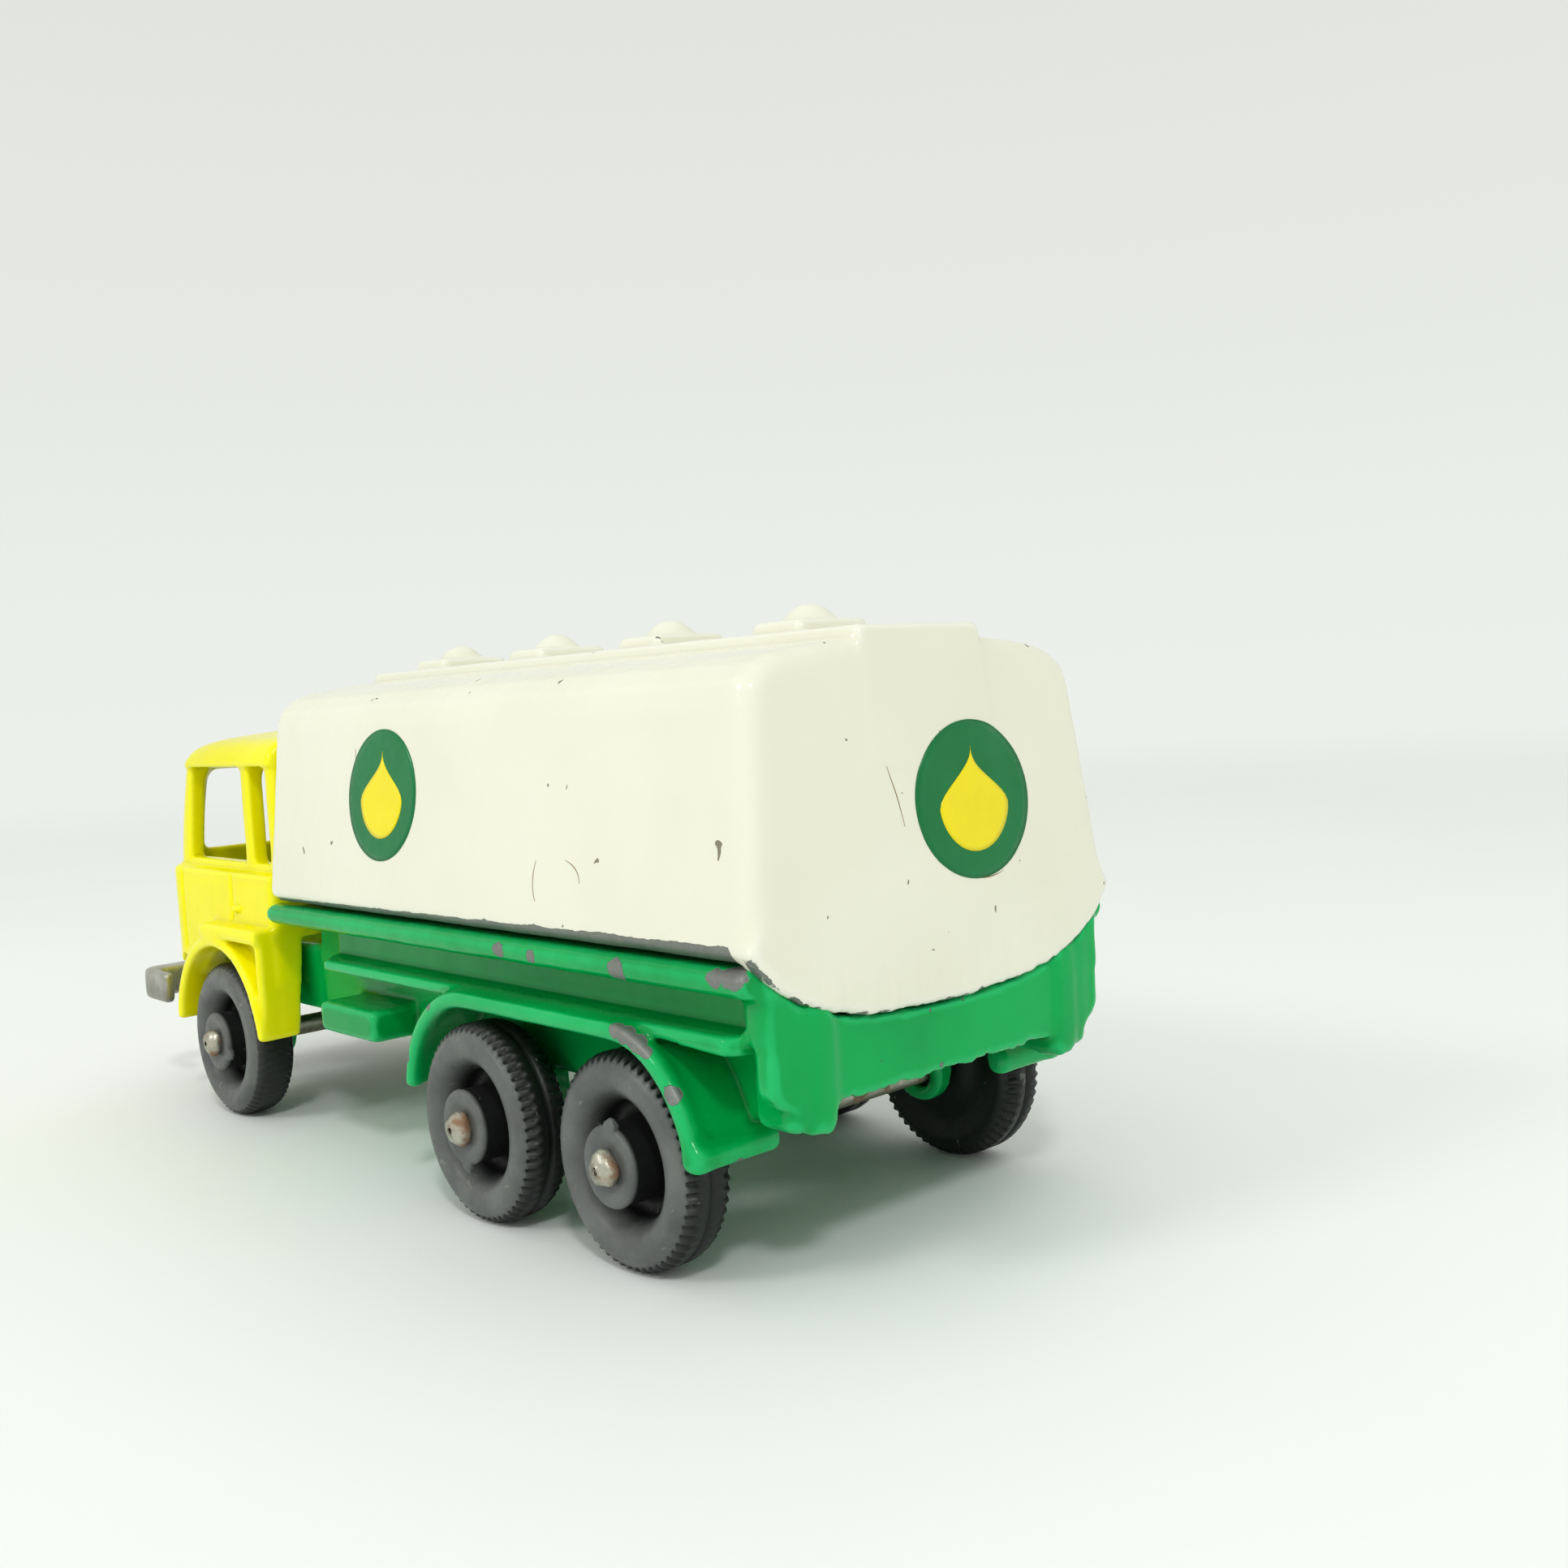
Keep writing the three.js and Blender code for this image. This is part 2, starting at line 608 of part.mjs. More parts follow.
// A twin rear tyre has a groove round its middle; a front tyre has a plain tread.
function wheelProfile(face, twin) {
  const back = face - WHEEL_WIDTH;
  const middle = (face + back) / 2;
  const tread = twin
    ? [
        [WHEEL_RADIUS, back + 0.4],
        [WHEEL_RADIUS, middle - 0.3],
        [WHEEL_RADIUS - 0.45, middle],
        [WHEEL_RADIUS, middle + 0.3],
        [WHEEL_RADIUS, face - 0.4],
      ]
    : [
        [WHEEL_RADIUS, back + 0.5],
        [WHEEL_RADIUS, face - 0.5],
      ];
  return [
    [BORE_RADIUS, back - 0.1],
    [2.4, back - 0.1],
    [2.6, back + 0.3],
    [4.6, back],
    ...tread,
    [4.6, face],
    [3.3, face - 0.35],
    [3.0, face - 1.2],
    [BOSS_RADIUS + 0.1, face - 1.3],
    [BOSS_RADIUS, face + BOSS_STAND],
    [BORE_RADIUS, face + BOSS_STAND],
    [BORE_RADIUS, back - 0.1],
  ];
}

const AXLES = [
  ["front", FRONT_AXLE_X, FRONT_WHEEL_Y, false],
  ["middle", MIDDLE_AXLE_X, MIDDLE_WHEEL_Y, true],
  ["rear", REAR_AXLE_X, REAR_WHEEL_Y, true],
];

// A steel rod with a domed head closed over the boss at each end.
function makeAxle(x, face) {
  const seat = face + BOSS_STAND + GAP;
  const half = [
    [AXLE_RADIUS, 0],
    [AXLE_RADIUS, seat],
    [1.1, seat],
    [1.05, seat + 0.25],
    [0.7, seat + 0.55],
    [0, seat + 0.65],
  ];
  const profile = [...half.slice(1).map(([r, y]) => [r, -y]).reverse(), ...half.slice(1)];
  return aboutY(profile, x, WHEEL_RADIUS, 20);
}

for (const [place, x, face, twin] of AXLES) {
  addPart(`${place}_axle`, makeAxle(x, face), STEEL);
  const left = aboutY(wheelProfile(face, twin), x, WHEEL_RADIUS, 36);
  addPart(`${place}_wheel_left`, left, BLACK);
  addPart(`${place}_wheel_right`, left.mirror([0, 1, 0]), BLACK);
}

// A straight steel pin through the ears of the base and the lugs of the cab.
addPart("cab_hinge_pin", rodY(HINGE_PIN_RADIUS, [-10.8, 10.8], HINGE_X, HINGE_Z, 20), STEEL);

addPart("tank", makeTank(), IVORY);
addPart("chassis", makeChassis(), GREEN);
addPart("cab", makeCab(), YELLOW);
addPart("front_base", makeFrontBase(), BARE_ZINC);

export default truck;
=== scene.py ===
"""Looks of a small die-cast toy road tanker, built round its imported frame.

The four castings are drawn as distance fields, which round every edge and fillet every inside corner
as paint does on a die-casting, and are then skinned into meshes. Wheels, axles and the hinge pin are
turned profiles. Lengths are in millimetres until a mesh is made, in the frame's own axes:
+X to the front of the truck, +Y to its left, +Z up, the ground at z = 0.
"""

import json
import math

import bpy
import numpy as np
from mathutils import Matrix, Vector
from mathutils.bvhtree import BVHTree


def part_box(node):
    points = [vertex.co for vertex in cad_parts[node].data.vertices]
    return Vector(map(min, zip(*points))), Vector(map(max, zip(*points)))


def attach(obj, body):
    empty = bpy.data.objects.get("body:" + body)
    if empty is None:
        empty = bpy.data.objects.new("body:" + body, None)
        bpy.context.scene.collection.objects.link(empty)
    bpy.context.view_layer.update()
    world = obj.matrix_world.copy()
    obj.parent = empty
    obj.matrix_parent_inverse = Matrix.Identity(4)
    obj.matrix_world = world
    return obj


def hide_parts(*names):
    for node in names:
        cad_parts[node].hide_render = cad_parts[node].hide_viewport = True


MM = 0.001  # metres in a millimetre

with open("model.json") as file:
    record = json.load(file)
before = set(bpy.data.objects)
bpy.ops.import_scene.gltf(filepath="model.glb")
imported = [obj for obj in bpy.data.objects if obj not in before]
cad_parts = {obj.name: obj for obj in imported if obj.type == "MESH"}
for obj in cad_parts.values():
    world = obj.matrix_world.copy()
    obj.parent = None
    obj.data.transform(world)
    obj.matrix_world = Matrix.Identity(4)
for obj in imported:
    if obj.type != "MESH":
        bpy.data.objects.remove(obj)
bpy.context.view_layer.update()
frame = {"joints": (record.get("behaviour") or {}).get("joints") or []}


# ------------ places taken from the frame


def millimetres(node):
    """Lowest and highest corners of a CAD node."""
    return [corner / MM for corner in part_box(node)]


def joint_place(name):
    found = next(joint for joint in frame["joints"] if joint["name"] == name)
    return Vector(found["pos_m"]) / MM


TANK_LOW, TANK_HIGH = millimetres("tank")
CHASSIS_LOW, CHASSIS_HIGH = millimetres("chassis")
CAB_LOW, CAB_HIGH = millimetres("cab")
BASE_LOW, BASE_HIGH = millimetres("front_base")
PIN_HALF_LENGTH = millimetres("cab_hinge_pin")[1].y
HINGE = joint_place("cab_tilt")
AXLES = {place: joint_place(place + "_axle_spin") for place in ("front", "middle", "rear")}
REAR_X = AXLES["rear"].x
MIDDLE_X = AXLES["middle"].x
FRONT_X = AXLES["front"].x
AXLE_Z = AXLES["rear"].z
WHEEL_RADIUS = AXLE_Z

GAP = 0.3  # room between neighbouring castings
WALL = 1.2  # wall of a casting
SILL_Z = CHASSIS_HIGH.z + GAP  # underside of the tank
DECK_TOP_Z = SILL_Z - GAP
STRIP_TOP_Z = TANK_HIGH.z - 1.6
PLATFORM_TOP_Z = TANK_HIGH.z - 0.9
HATCH_COUNT = 4
HATCH_PITCH = 11.8
HATCH_XS = [REAR_X - 1.9 + HATCH_PITCH * i for i in range(HATCH_COUNT)]
RAKE = 0.075  # slope of the back of the tank
PANEL_LOW_Z = 12.5  # lowest point of the tank's back panel
DECK_FRONT_X = TANK_HIGH.x - 0.2
WEB_Y = 9.6  # outside of the chassis side webs
WEB_Z = 8.0  # foot of the side webs
LEDGE_Y = 12.8
LEDGE_Z = 12.7  # top of the ledge, level with the mudguards
BASE_POST_XS = (FRONT_X - 3.4, CHASSIS_HIGH.x - 1.8)  # posts that hold the front base


# ------------ distance fields


MARGIN = 4  # grid steps kept free round a field


class Points:
    """Sample points over the left half of a region; the right half is its mirror image."""

    def __init__(self, low, high, step):
        self.step = step
        self.low = [low[0] - MARGIN * step, 0.5 * step, low[2] - MARGIN * step]
        more = 2 * MARGIN + 1
        counts = [int((high[0] - low[0]) / step) + more, int(high[1] / step) + MARGIN + 1]
        counts.append(int((high[2] - low[2]) / step) + more)
        lines = [
            (start + step * np.arange(count)).astype(np.float32)
            for start, count in zip(self.low, counts)
        ]
        self.x = lines[0][:, None, None]
        self.y = lines[1][None, :, None]
        self.z = lines[2][None, None, :]


def span(values, low, high):
    return np.abs(values - (low + high) / 2) - (high - low) / 2


def blunt(*distances, r=0.2):
    """The space inside all of several crossed slabs, with its edges rounded."""
    grown = [distance + r for distance in distances]
    inside = grown[0]
    outside = np.maximum(grown[0], 0) ** 2
    for distance in grown[1:]:
        inside = np.maximum(inside, distance)
        outside = outside + np.maximum(distance, 0) ** 2
    return np.minimum(inside, 0) + np.sqrt(outside) - r


def brick(p, x, y, z, r=0.2):
    return blunt(span(p.x, *x), span(p.y, *y), span(p.z, *z), r=r)


def rod(u, v, centre, radius):
    return np.hypot(u - centre[0], v - centre[1]) - radius


def polygon(u, v, points):
    """Signed distance from a closed outline, over two crossed arrays."""
    nearest = np.float32(1e9)
    inside = np.zeros(np.broadcast_shapes(u.shape, v.shape), bool)
    for (a0, a1), (b0, b1) in zip(points, [*points[1:], points[0]]):
        e0, e1 = b0 - a0, b1 - a1
        along = np.clip(((u - a0) * e0 + (v - a1) * e1) / (e0 * e0 + e1 * e1), 0, 1)
        nearest = np.minimum(nearest, (u - a0 - e0 * along) ** 2 + (v - a1 - e1 * along) ** 2)
        if a1 != b1:
            inside ^= ((a1 > v) != (b1 > v)) & (u < e0 * (v - a1) / e1 + a0)
    return np.where(inside, -1, 1) * np.sqrt(nearest)


def join(a, b, k=0.35):
    """Union with a fillet about k wide."""
    blend = np.maximum(k - np.abs(a - b), 0) / k
    return np.minimum(a, b) - blend * blend * k / 4


def common(a, b, k=0.3):
    return -join(-a, -b, k)


def carve(a, b, k=0.2):
    return common(a, -b, k)


def ease(values, low, high):
    """0 below low, 1 above high, smooth between."""
    t = np.clip((values - low) / (high - low), 0, 1)
    return t * t * (3 - 2 * t)


CORNERS = [(i, j, k) for i in (0, 1) for j in (0, 1) for k in (0, 1)]


def skin(p, field):
    """The surface of a half field and its mirror image, as vertices in millimetres and quads."""
    values = np.concatenate([field[:, ::-1], field], axis=1)
    start = np.array([p.low[0], -p.step * (field.shape[1] - 0.5), p.low[2]])
    solid = values < 0
    count = np.zeros([n - 1 for n in solid.shape], np.int8)
    for i, j, k in CORNERS:
        count += solid[i : i + count.shape[0], j : j + count.shape[1], k : k + count.shape[2]]
    crossed = (count > 0) & (count < 8)
    cells = np.argwhere(crossed)
    number = np.full(count.shape, -1, np.int64)
    number[crossed] = np.arange(len(cells))
    at = {c: values[tuple((cells + c).T)] for c in CORNERS}
    total = np.zeros((len(cells), 3))
    hits = np.zeros(len(cells))
    for corner in CORNERS:
        for axis in range(3):
            if corner[axis]:
                continue
            other = tuple(c + (a == axis) for a, c in enumerate(corner))
            cross = (at[corner] < 0) != (at[other] < 0)
            t = at[corner] / np.where(cross, at[corner] - at[other], 1)
            point = np.tile(np.array(corner, float), (len(cells), 1))
            point[:, axis] += t
            total += point * cross[:, None]
            hits += cross
    vertices = start + (cells + total / hits[:, None]) * p.step
    quads = []
    for axis in range(3):
        b, c = np.eye(3, dtype=int)[[(axis + 1) % 3, (axis + 2) % 3]]
        first = [slice(1, -1)] * 3
        second = list(first)
        second[axis] = slice(2, None)
        edges = np.argwhere(solid[tuple(first)] != solid[tuple(second)]) + 1
        ring = [number[tuple((edges - s).T)] for s in (0 * b, b, b + c, c)]
        ring = np.stack(ring, axis=1)
        facing = solid[tuple(edges.T)]
        ring[~facing] = ring[~facing][:, ::-1]
        quads.append(ring)
    return vertices, np.concatenate(quads)


def relax(vertices, quads, times):
    """Moves every vertex halfway to the middle of its neighbours, several times over."""
    ends = np.concatenate([quads[:, [i, (i + 1) % 4]] for i in range(4)])
    ends = np.concatenate([ends, ends[:, ::-1]])
    degree = np.maximum(np.bincount(ends[:, 0], minlength=len(vertices)), 1)[:, None]
    for _ in range(times):
        middle = [np.bincount(ends[:, 0], vertices[ends[:, 1], a], len(vertices)) for a in range(3)]
        vertices = vertices + 0.5 * (np.stack(middle, axis=1) / degree - vertices)
    return vertices


def wander(u, size, seed):
    """A smooth irregular curve between about -1 and 1."""
    turns = [(1.0, 0.5), (1.73, 0.3), (3.1, 0.2), (5.3, 0.12)]
    return sum(
        weight * np.sin(u * rate * 2 * math.pi / size + seed * 1.7 + i * 2.3)
        for i, (rate, weight) in enumerate(turns)
    )


def uneven(points, size, depth, seed):
    """A slow three-way ripple in depth, as cast and painted surfaces have."""
    x, y, z = points.T
    waves = wander(x + 0.31 * z, size, seed) + wander(y - 0.37 * x, size, seed + 1)
    return depth * (waves + wander(z + 0.41 * y, size, seed + 2)) / 3


# ------------ meshes and pieces


def in_scene(name, data):
    """A new object that holds this data, linked into the scene."""
    made = bpy.data.objects.new(name, data)
    bpy.context.scene.collection.objects.link(made)
    return made


def new_piece(name, body, vertices, faces, material, replaced=()):
    """A mesh piece made of millimetre vertices, riding on a body."""
    mesh = bpy.data.meshes.new(name)
    faces = faces.tolist() if isinstance(faces, np.ndarray) else faces
    mesh.from_pydata((np.asarray(vertices) * MM).tolist(), [], faces)
    mesh.update()
    piece = in_scene(name, mesh)
    mesh.materials.append(material)
    mesh.shade_smooth()
    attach(piece, body)
    if replaced:
        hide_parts(*replaced)
    return piece


def add_attribute(piece, name, values):
    attribute = piece.data.attributes.new(name, "FLOAT", "POINT")
    attribute.data.foreach_set("value", np.asarray(values, np.float32))


def nearness(points, spots):
    """1 at the middle of the nearest spot and 0 at its rim or beyond; spots are (x, y, z, radius)."""
    best = np.zeros(len(points))
    for x, y, z, radius in spots:
        distance = np.linalg.norm(points - (x, y, z), axis=1)
        best = np.maximum(best, 1 - distance / radius)
    return best


def sharpness(vertices, quads):
    """How far each vertex stands out of its surroundings, and the normals.

    It is over 0 on outer edges and under 0 in corners.
    """
    flat = relax(vertices, quads, 8)
    a, b, c, d = (vertices[quads[:, i]] for i in range(4))
    face = np.cross(c - a, d - b)
    normals = np.zeros_like(vertices)
    for i in range(4):
        for axis in range(3):
            normals[:, axis] += np.bincount(quads[:, i], face[:, axis], len(vertices))
    normals /= np.linalg.norm(normals, axis=1)[:, None] + 1e-12
    return ((vertices - flat) * normals).sum(1), normals


SMOOTHING = 2  # rounds of relaxing that take the grid out of a skin
RIPPLE = (7.0, 0.04)  # wave and depth of the unevenness of a casting


def casting(name, p, field, material, seed, chips=(), body="truck", edit=None, worn=None):
    """Skins a field into a piece that stands for the CAD node of the same name.

    chips are spots without paint, edit moves vertices, and worn says how far each one is worn bare.
    """
    vertices, quads = skin(p, field)
    vertices = relax(vertices, quads, SMOOTHING)
    edge, normals = sharpness(vertices, quads)
    vertices = vertices + normals * uneven(vertices, *RIPPLE, seed)[:, None]
    if edit:
        vertices = edit(vertices)
    piece = new_piece(name + "_casting", body, vertices, quads, material, [name])
    add_attribute(piece, "edge", np.clip(edge / (0.35 * p.step), -1, 1))
    bare = nearness(vertices, chips)
    add_attribute(piece, "chips", bare if worn is None else np.maximum(bare, worn(vertices)))
    return piece


# ------------ materials


def shade(red, green, blue):
    """A display colour from 0 to 255 as the linear colour that a shader takes."""
    scaled = [value / 255 for value in (red, green, blue)]
    linear = [v / 12.92 if v <= 0.04045 else ((v + 0.055) / 1.055) ** 2.4 for v in scaled]
    return (*linear, 1.0)


class Shader:
    """A material with one Principled shader, and short names for the nodes that feed it."""

    def __init__(self, name):
        self.material = bpy.data.materials.new(name)
        self.material.use_nodes = True
        self.nodes = self.material.node_tree.nodes
        self.links = self.material.node_tree.links
        self.main = self.nodes["Principled BSDF"]
        self.place = self.nodes.new("ShaderNodeTexCoord").outputs["Object"]

    def put(self, socket, value):
        if isinstance(value, bpy.types.NodeSocket):
            self.links.new(value, socket)
        else:
            socket.default_value = value

    def set(self, **values):
        for name, value in values.items():
            self.put(self.main.inputs[name.replace("_", " ")], value)

    def noise(self, scale, detail=3.0, roughness=0.5, distortion=0.0):
        """Noise over the object; scale is in waves per millimetre."""
        node = self.nodes.new("ShaderNodeTexNoise")
        self.links.new(self.place, node.inputs["Vector"])
        node.inputs["Scale"].default_value = scale / MM
        node.inputs["Detail"].default_value = detail
        node.inputs["Roughness"].default_value = roughness
        node.inputs["Distortion"].default_value = distortion
        return node.outputs["Fac"]

    def attribute(self, name):
        node = self.nodes.new("ShaderNodeAttribute")
        node.attribute_name = name
        return node.outputs["Fac"]

    def maths(self, operation, *values, clamp=False):
        node = self.nodes.new("ShaderNodeMath")
        node.operation = operation
        node.use_clamp = clamp
        for socket, value in zip(node.inputs, values):
            self.put(socket, value)
        return node.outputs[0]

    def ramp(self, value, low, high, out_low=0.0, out_high=1.0):
        """value from low to high becomes out_low to out_high, smooth and clamped."""
        node = self.nodes.new("ShaderNodeMapRange")
        node.interpolation_type = "SMOOTHSTEP"
        for socket, number in zip(node.inputs, (value, low, high, out_low, out_high)):
            self.put(socket, number)
        return node.outputs[0]

    def mix(self, amount, a, b):
        node = self.nodes.new("ShaderNodeMix")
        node.data_type = "RGBA"
        self.put(node.inputs["Factor"], amount)
        self.put(node.inputs["A"], a)
        self.put(node.inputs["B"], b)
        return node.outputs["Result"]

    def bump(self, height, depth, under=None):
        """Bump of a height from 0 to 1; depth is in millimetres."""
        node = self.nodes.new("ShaderNodeBump")
        node.inputs["Distance"].default_value = depth * MM
        self.put(node.inputs["Height"], height)
        if under:
            self.links.new(under, node.inputs["Normal"])
        return node.outputs["Normal"]


BARE_METAL = shade(150, 152, 148)
DARK_SPECK = shade(96, 84, 62)


def paint(name, colour, thin_and_highlight, deep_tone_and_shade, roughness, specks):
    """Gloss enamel on zinc, with its own colour, a lighter colour and a darker one.

    Outer edges are lightened towards the lighter colour, both as thin worn paint and as a painted
    highlight.
    The darker colour is mixed in at random as a deeper tone, and in corners both as pooled paint and as
    painted shade.
    """
    s = Shader(name)
    cloud = s.noise(0.09, 3)
    fine = s.noise(2.4, 4, 0.6)
    grain = s.noise(0.7, 3)
    edge = s.attribute("edge")
    body = s.mix(s.ramp(cloud, 0.3, 0.7, 0.0, 0.45), colour, deep_tone_and_shade)
    # painted shade: corners are darkened towards the darker colour, partly as pooled paint
    body = s.mix(s.ramp(edge, -0.15, -0.9, 0.0, 0.75), body, deep_tone_and_shade)
    # painted highlight: outer edges are lightened towards the lighter colour, partly as thin worn paint
    edge_wear_and_highlight = s.maths("ADD", edge, s.maths("MULTIPLY", grain, 0.5))
    body = s.mix(s.ramp(edge_wear_and_highlight, 0.5, 1.2, 0.0, 0.55), body, thin_and_highlight)
    dirt = s.ramp(s.noise(1.15, 1.0, 0.3, 0.6), specks, specks + 0.015)
    body = s.mix(s.maths("MULTIPLY", dirt, 0.8), body, DARK_SPECK)
    ragged = s.maths("MULTIPLY", s.maths("SUBTRACT", s.noise(1.1, 3, 0.55), 0.5), 0.8)
    spots = s.maths("ADD", s.attribute("chips"), ragged)
    spots = s.maths("MULTIPLY", s.ramp(spots, 0.30, 0.36), s.ramp(s.attribute("chips"), 0.0, 0.05))
    nicks = s.maths("ADD", edge, s.maths("MULTIPLY", s.noise(0.9, 4, 0.7), 2.0))
    bare = s.maths("MAXIMUM", spots, s.ramp(nicks, 2.3, 2.4), clamp=True)
    metal = s.mix(fine, BARE_METAL, shade(120, 122, 118))
    gloss = s.ramp(fine, 0.35, 0.7, roughness, roughness + 0.08)
    s.set(Base_Color=s.mix(bare, body, metal))
    s.set(Metallic=s.maths("MULTIPLY", bare, 0.55))
    s.set(Roughness=s.ramp(bare, 0.0, 1.0, gloss, 0.5))
    peel = s.bump(s.noise(0.3, 2), 0.03)
    peel = s.bump(fine, 0.0025, peel)
    s.set(Normal=s.bump(s.maths("SUBTRACT", 1.0, bare), 0.05, peel))
    s.set(Specular_IOR_Level=0.3)
    return s.material


def bare_casting():
    """Dull unpainted zinc, cloudy and finely pitted."""
    s = Shader("bare_zinc")
    fine = s.noise(1.6, 5, 0.65)
    cloud = s.ramp(s.noise(0.25), 0.35, 0.7)
    s.set(Base_Color=s.mix(cloud, shade(196, 195, 188), shade(150, 148, 140)))
    s.set(Metallic=0.8, Roughness=s.ramp(fine, 0.3, 0.7, 0.3, 0.5))
    s.set(Normal=s.bump(fine, 0.06))
    return s.material


def dull_steel():
    """Steel rod and rivet heads, with a brown bloom of rust in patches."""
    s = Shader("dull_steel")
    fine = s.noise(3.0, 4, 0.6)
    rust = s.ramp(s.noise(0.55, 4, 0.6), 0.5, 0.64)
    clean = s.mix(fine, shade(205, 202, 190), shade(165, 162, 150))
    s.set(Base_Color=s.mix(s.maths("MULTIPLY", rust, 0.8), clean, shade(140, 98, 66)))
    s.set(Metallic=s.ramp(rust, 0, 1, 0.85, 0.25), Roughness=s.ramp(rust, 0, 1, 0.36, 0.7))
    s.set(Normal=s.bump(fine, 0.05))
    return s.material


def wheel_plastic():
    """Satin dark plastic, greyed with age and handling, darker on the tread, with painted shade in the
    recess.
    """
    s = Shader("wheel_plastic")
    fine = s.noise(2.2, 4, 0.6)
    cloud = s.ramp(s.noise(0.22, 4, 0.6), 0.3, 0.72)
    body = s.mix(cloud, shade(88, 90, 90), shade(114, 116, 115))
    # darker on the tread, which is the plastic's own colour, and painted shade in the wheel's recess and
    # on the side of its boss
    body = s.mix(s.attribute("black_and_shade"), body, shade(34, 36, 35))
    lint = s.ramp(s.noise(1.9, 1.0, 0.3, 0.8), 0.755, 0.77)
    s.set(Base_Color=s.mix(s.maths("MULTIPLY", lint, 0.4), body, shade(150, 148, 140)))
    s.set(Roughness=s.ramp(fine, 0.3, 0.7, 0.36, 0.5), Normal=s.bump(fine, 0.02))
    return s.material


def print_ink(name, colour, worn):
    """The ink of a water-slide transfer, with pin holes and a slightly faded middle."""
    s = Shader(name)
    body = s.mix(s.ramp(s.noise(0.35, 4, 0.6), 0.35, 0.75, 0.0, 0.6), colour, worn)
    s.set(Base_Color=body, Roughness=s.ramp(s.noise(2.0), 0.3, 0.7, 0.28, 0.4))
    s.set(Normal=s.bump(s.noise(1.1, 3), 0.012))
    return s.material


# each paint: its own colour, a lighter edge colour (thin worn paint and painted highlight), and a darker
# colour (a random deeper tone, plus pooled paint and painted shade in corners)
YELLOW = paint("yellow_paint", shade(248, 240, 4), shade(250, 246, 60), shade(220, 212, 0), 0.17, 0.9)
GREEN = paint("green_paint", shade(0, 176, 92), shade(50, 200, 128), shade(0, 120, 54), 0.12, 0.9)
IVORY = paint("ivory_paint", shade(236, 235, 219), shade(240, 240, 230), shade(226, 224, 205), 0.14, 0.8)
ZINC = bare_casting()
STEEL = dull_steel()
PLASTIC = wheel_plastic()
GREEN_INK = print_ink("green_ink", shade(0, 118, 62), shade(10, 128, 72))
YELLOW_INK = print_ink("yellow_ink", shade(244, 226, 20), shade(236, 218, 30))


# ------------ tank casting

TANK_SECTION = [  # (y, z) up the left side, from the sill to the top
    (TANK_HIGH.y - 0.5, SILL_Z),
    (TANK_HIGH.y, SILL_Z + 0.5),
    (11.9, 27.6),
    (11.6, 28.7),
    (10.7, 29.5),
    (9.6, 29.9),
    (7.6, STRIP_TOP_Z - 0.9),
    (4.6, STRIP_TOP_Z - 0.6),
]


def mirrored(half):
    return [*half, *[(-y, z) for y, z in reversed(half)]]


def bezier(a, b, c, d, steps):
    t = np.linspace(0, 1, steps)[:, None]
    a, b, c, d = (np.array(v) for v in (a, b, c, d))
    curve = a * (1 - t) ** 3 + 3 * b * t * (1 - t) ** 2 + 3 * c * t**2 * (1 - t) + d * t**3
    return [tuple(point) for point in curve]


def back_panel_outline(grow=0.0):
    corner = (TANK_HIGH.y + grow, SILL_Z + 0.5)
    low = PANEL_LOW_Z - grow
    half = bezier((0.01, low), (7.5, low), (11.4 + grow, 13.6 - grow), corner, 12)
    return mirrored([*half, (TANK_HIGH.y - 1.5, SILL_Z + 3)])


def tank_field(p):
    back = TANK_LOW.x + RAKE * np.maximum(p.z - SILL_Z, 0) - p.x
    section = polygon(p.y, p.z, mirrored(TANK_SECTION))
    field = common(common(section, p.x - TANK_HIGH.x, 1.4), back, 1.3)
    panel = polygon(p.y, p.z, back_panel_outline())
    panel = blunt(panel, span(p.x, TANK_LOW.x - 3, TANK_LOW.x + 1.3), r=0.12)
    field = join(field, common(panel, back + 0.02, 0.3), 0.15)
    strip = brick(p, (TANK_LOW.x, TANK_HIGH.x - 0.6), (-4.4, 4.4), (SILL_Z + 8, STRIP_TOP_Z), 0.12)
    field = join(field, common(strip, back, 0.2), 0.3)
    for x in HATCH_XS:
        platform = brick(p, (x - 1.9, x + 1.9), (-2.5, 2.5), (STRIP_TOP_Z - 2, PLATFORM_TOP_Z), 0.16)
        dome = np.sqrt((p.x - x) ** 2 + p.y**2 + (p.z - PLATFORM_TOP_Z + 0.63) ** 2) - 1.54
        field = join(field, join(platform, dome, 0.35), 0.3)
    return field


def ragged_tank(vertices):
    """Flash along the foot of the back panel, and its torn white rim."""
    x, y, z = vertices.T
    near_foot = (x < TANK_LOW.x + 1.6) * (1 - ease(z, PANEL_LOW_Z + 0.2, SILL_Z + 1.0))
    drop = wander(y, 6.2, 3) + 0.35 * wander(y, 1.1, 5)
    vertices[:, 2] += 0.08 * drop * near_foot
    vertices[:, 0] += 0.04 * wander(y, 2.3, 8) * near_foot
    return vertices


# ------------ chassis casting

MUDGUARD_TOP_Z = 12.45
MUDGUARD_HEM_Z = 6.45
MUDGUARD_Y = CHASSIS_HIGH.y


def mudguard_path(inset):
    """Two quarter ellipses with a straight top between them, as (x, z)."""
    height = MUDGUARD_TOP_Z - AXLE_Z - inset
    ends = [(REAR_X, -6.35 + inset), (REAR_X + 13.7, 6.75 - inset)]
    hem = math.asin((MUDGUARD_HEM_Z - AXLE_Z) / height)
    rises = np.linspace(hem, math.pi / 2, 12)
    rear, front = [
        [(x + reach * math.cos(rise), AXLE_Z + height * math.sin(rise)) for rise in rises]
        for x, reach in ends
    ]
    return [*rear, *reversed(front)]


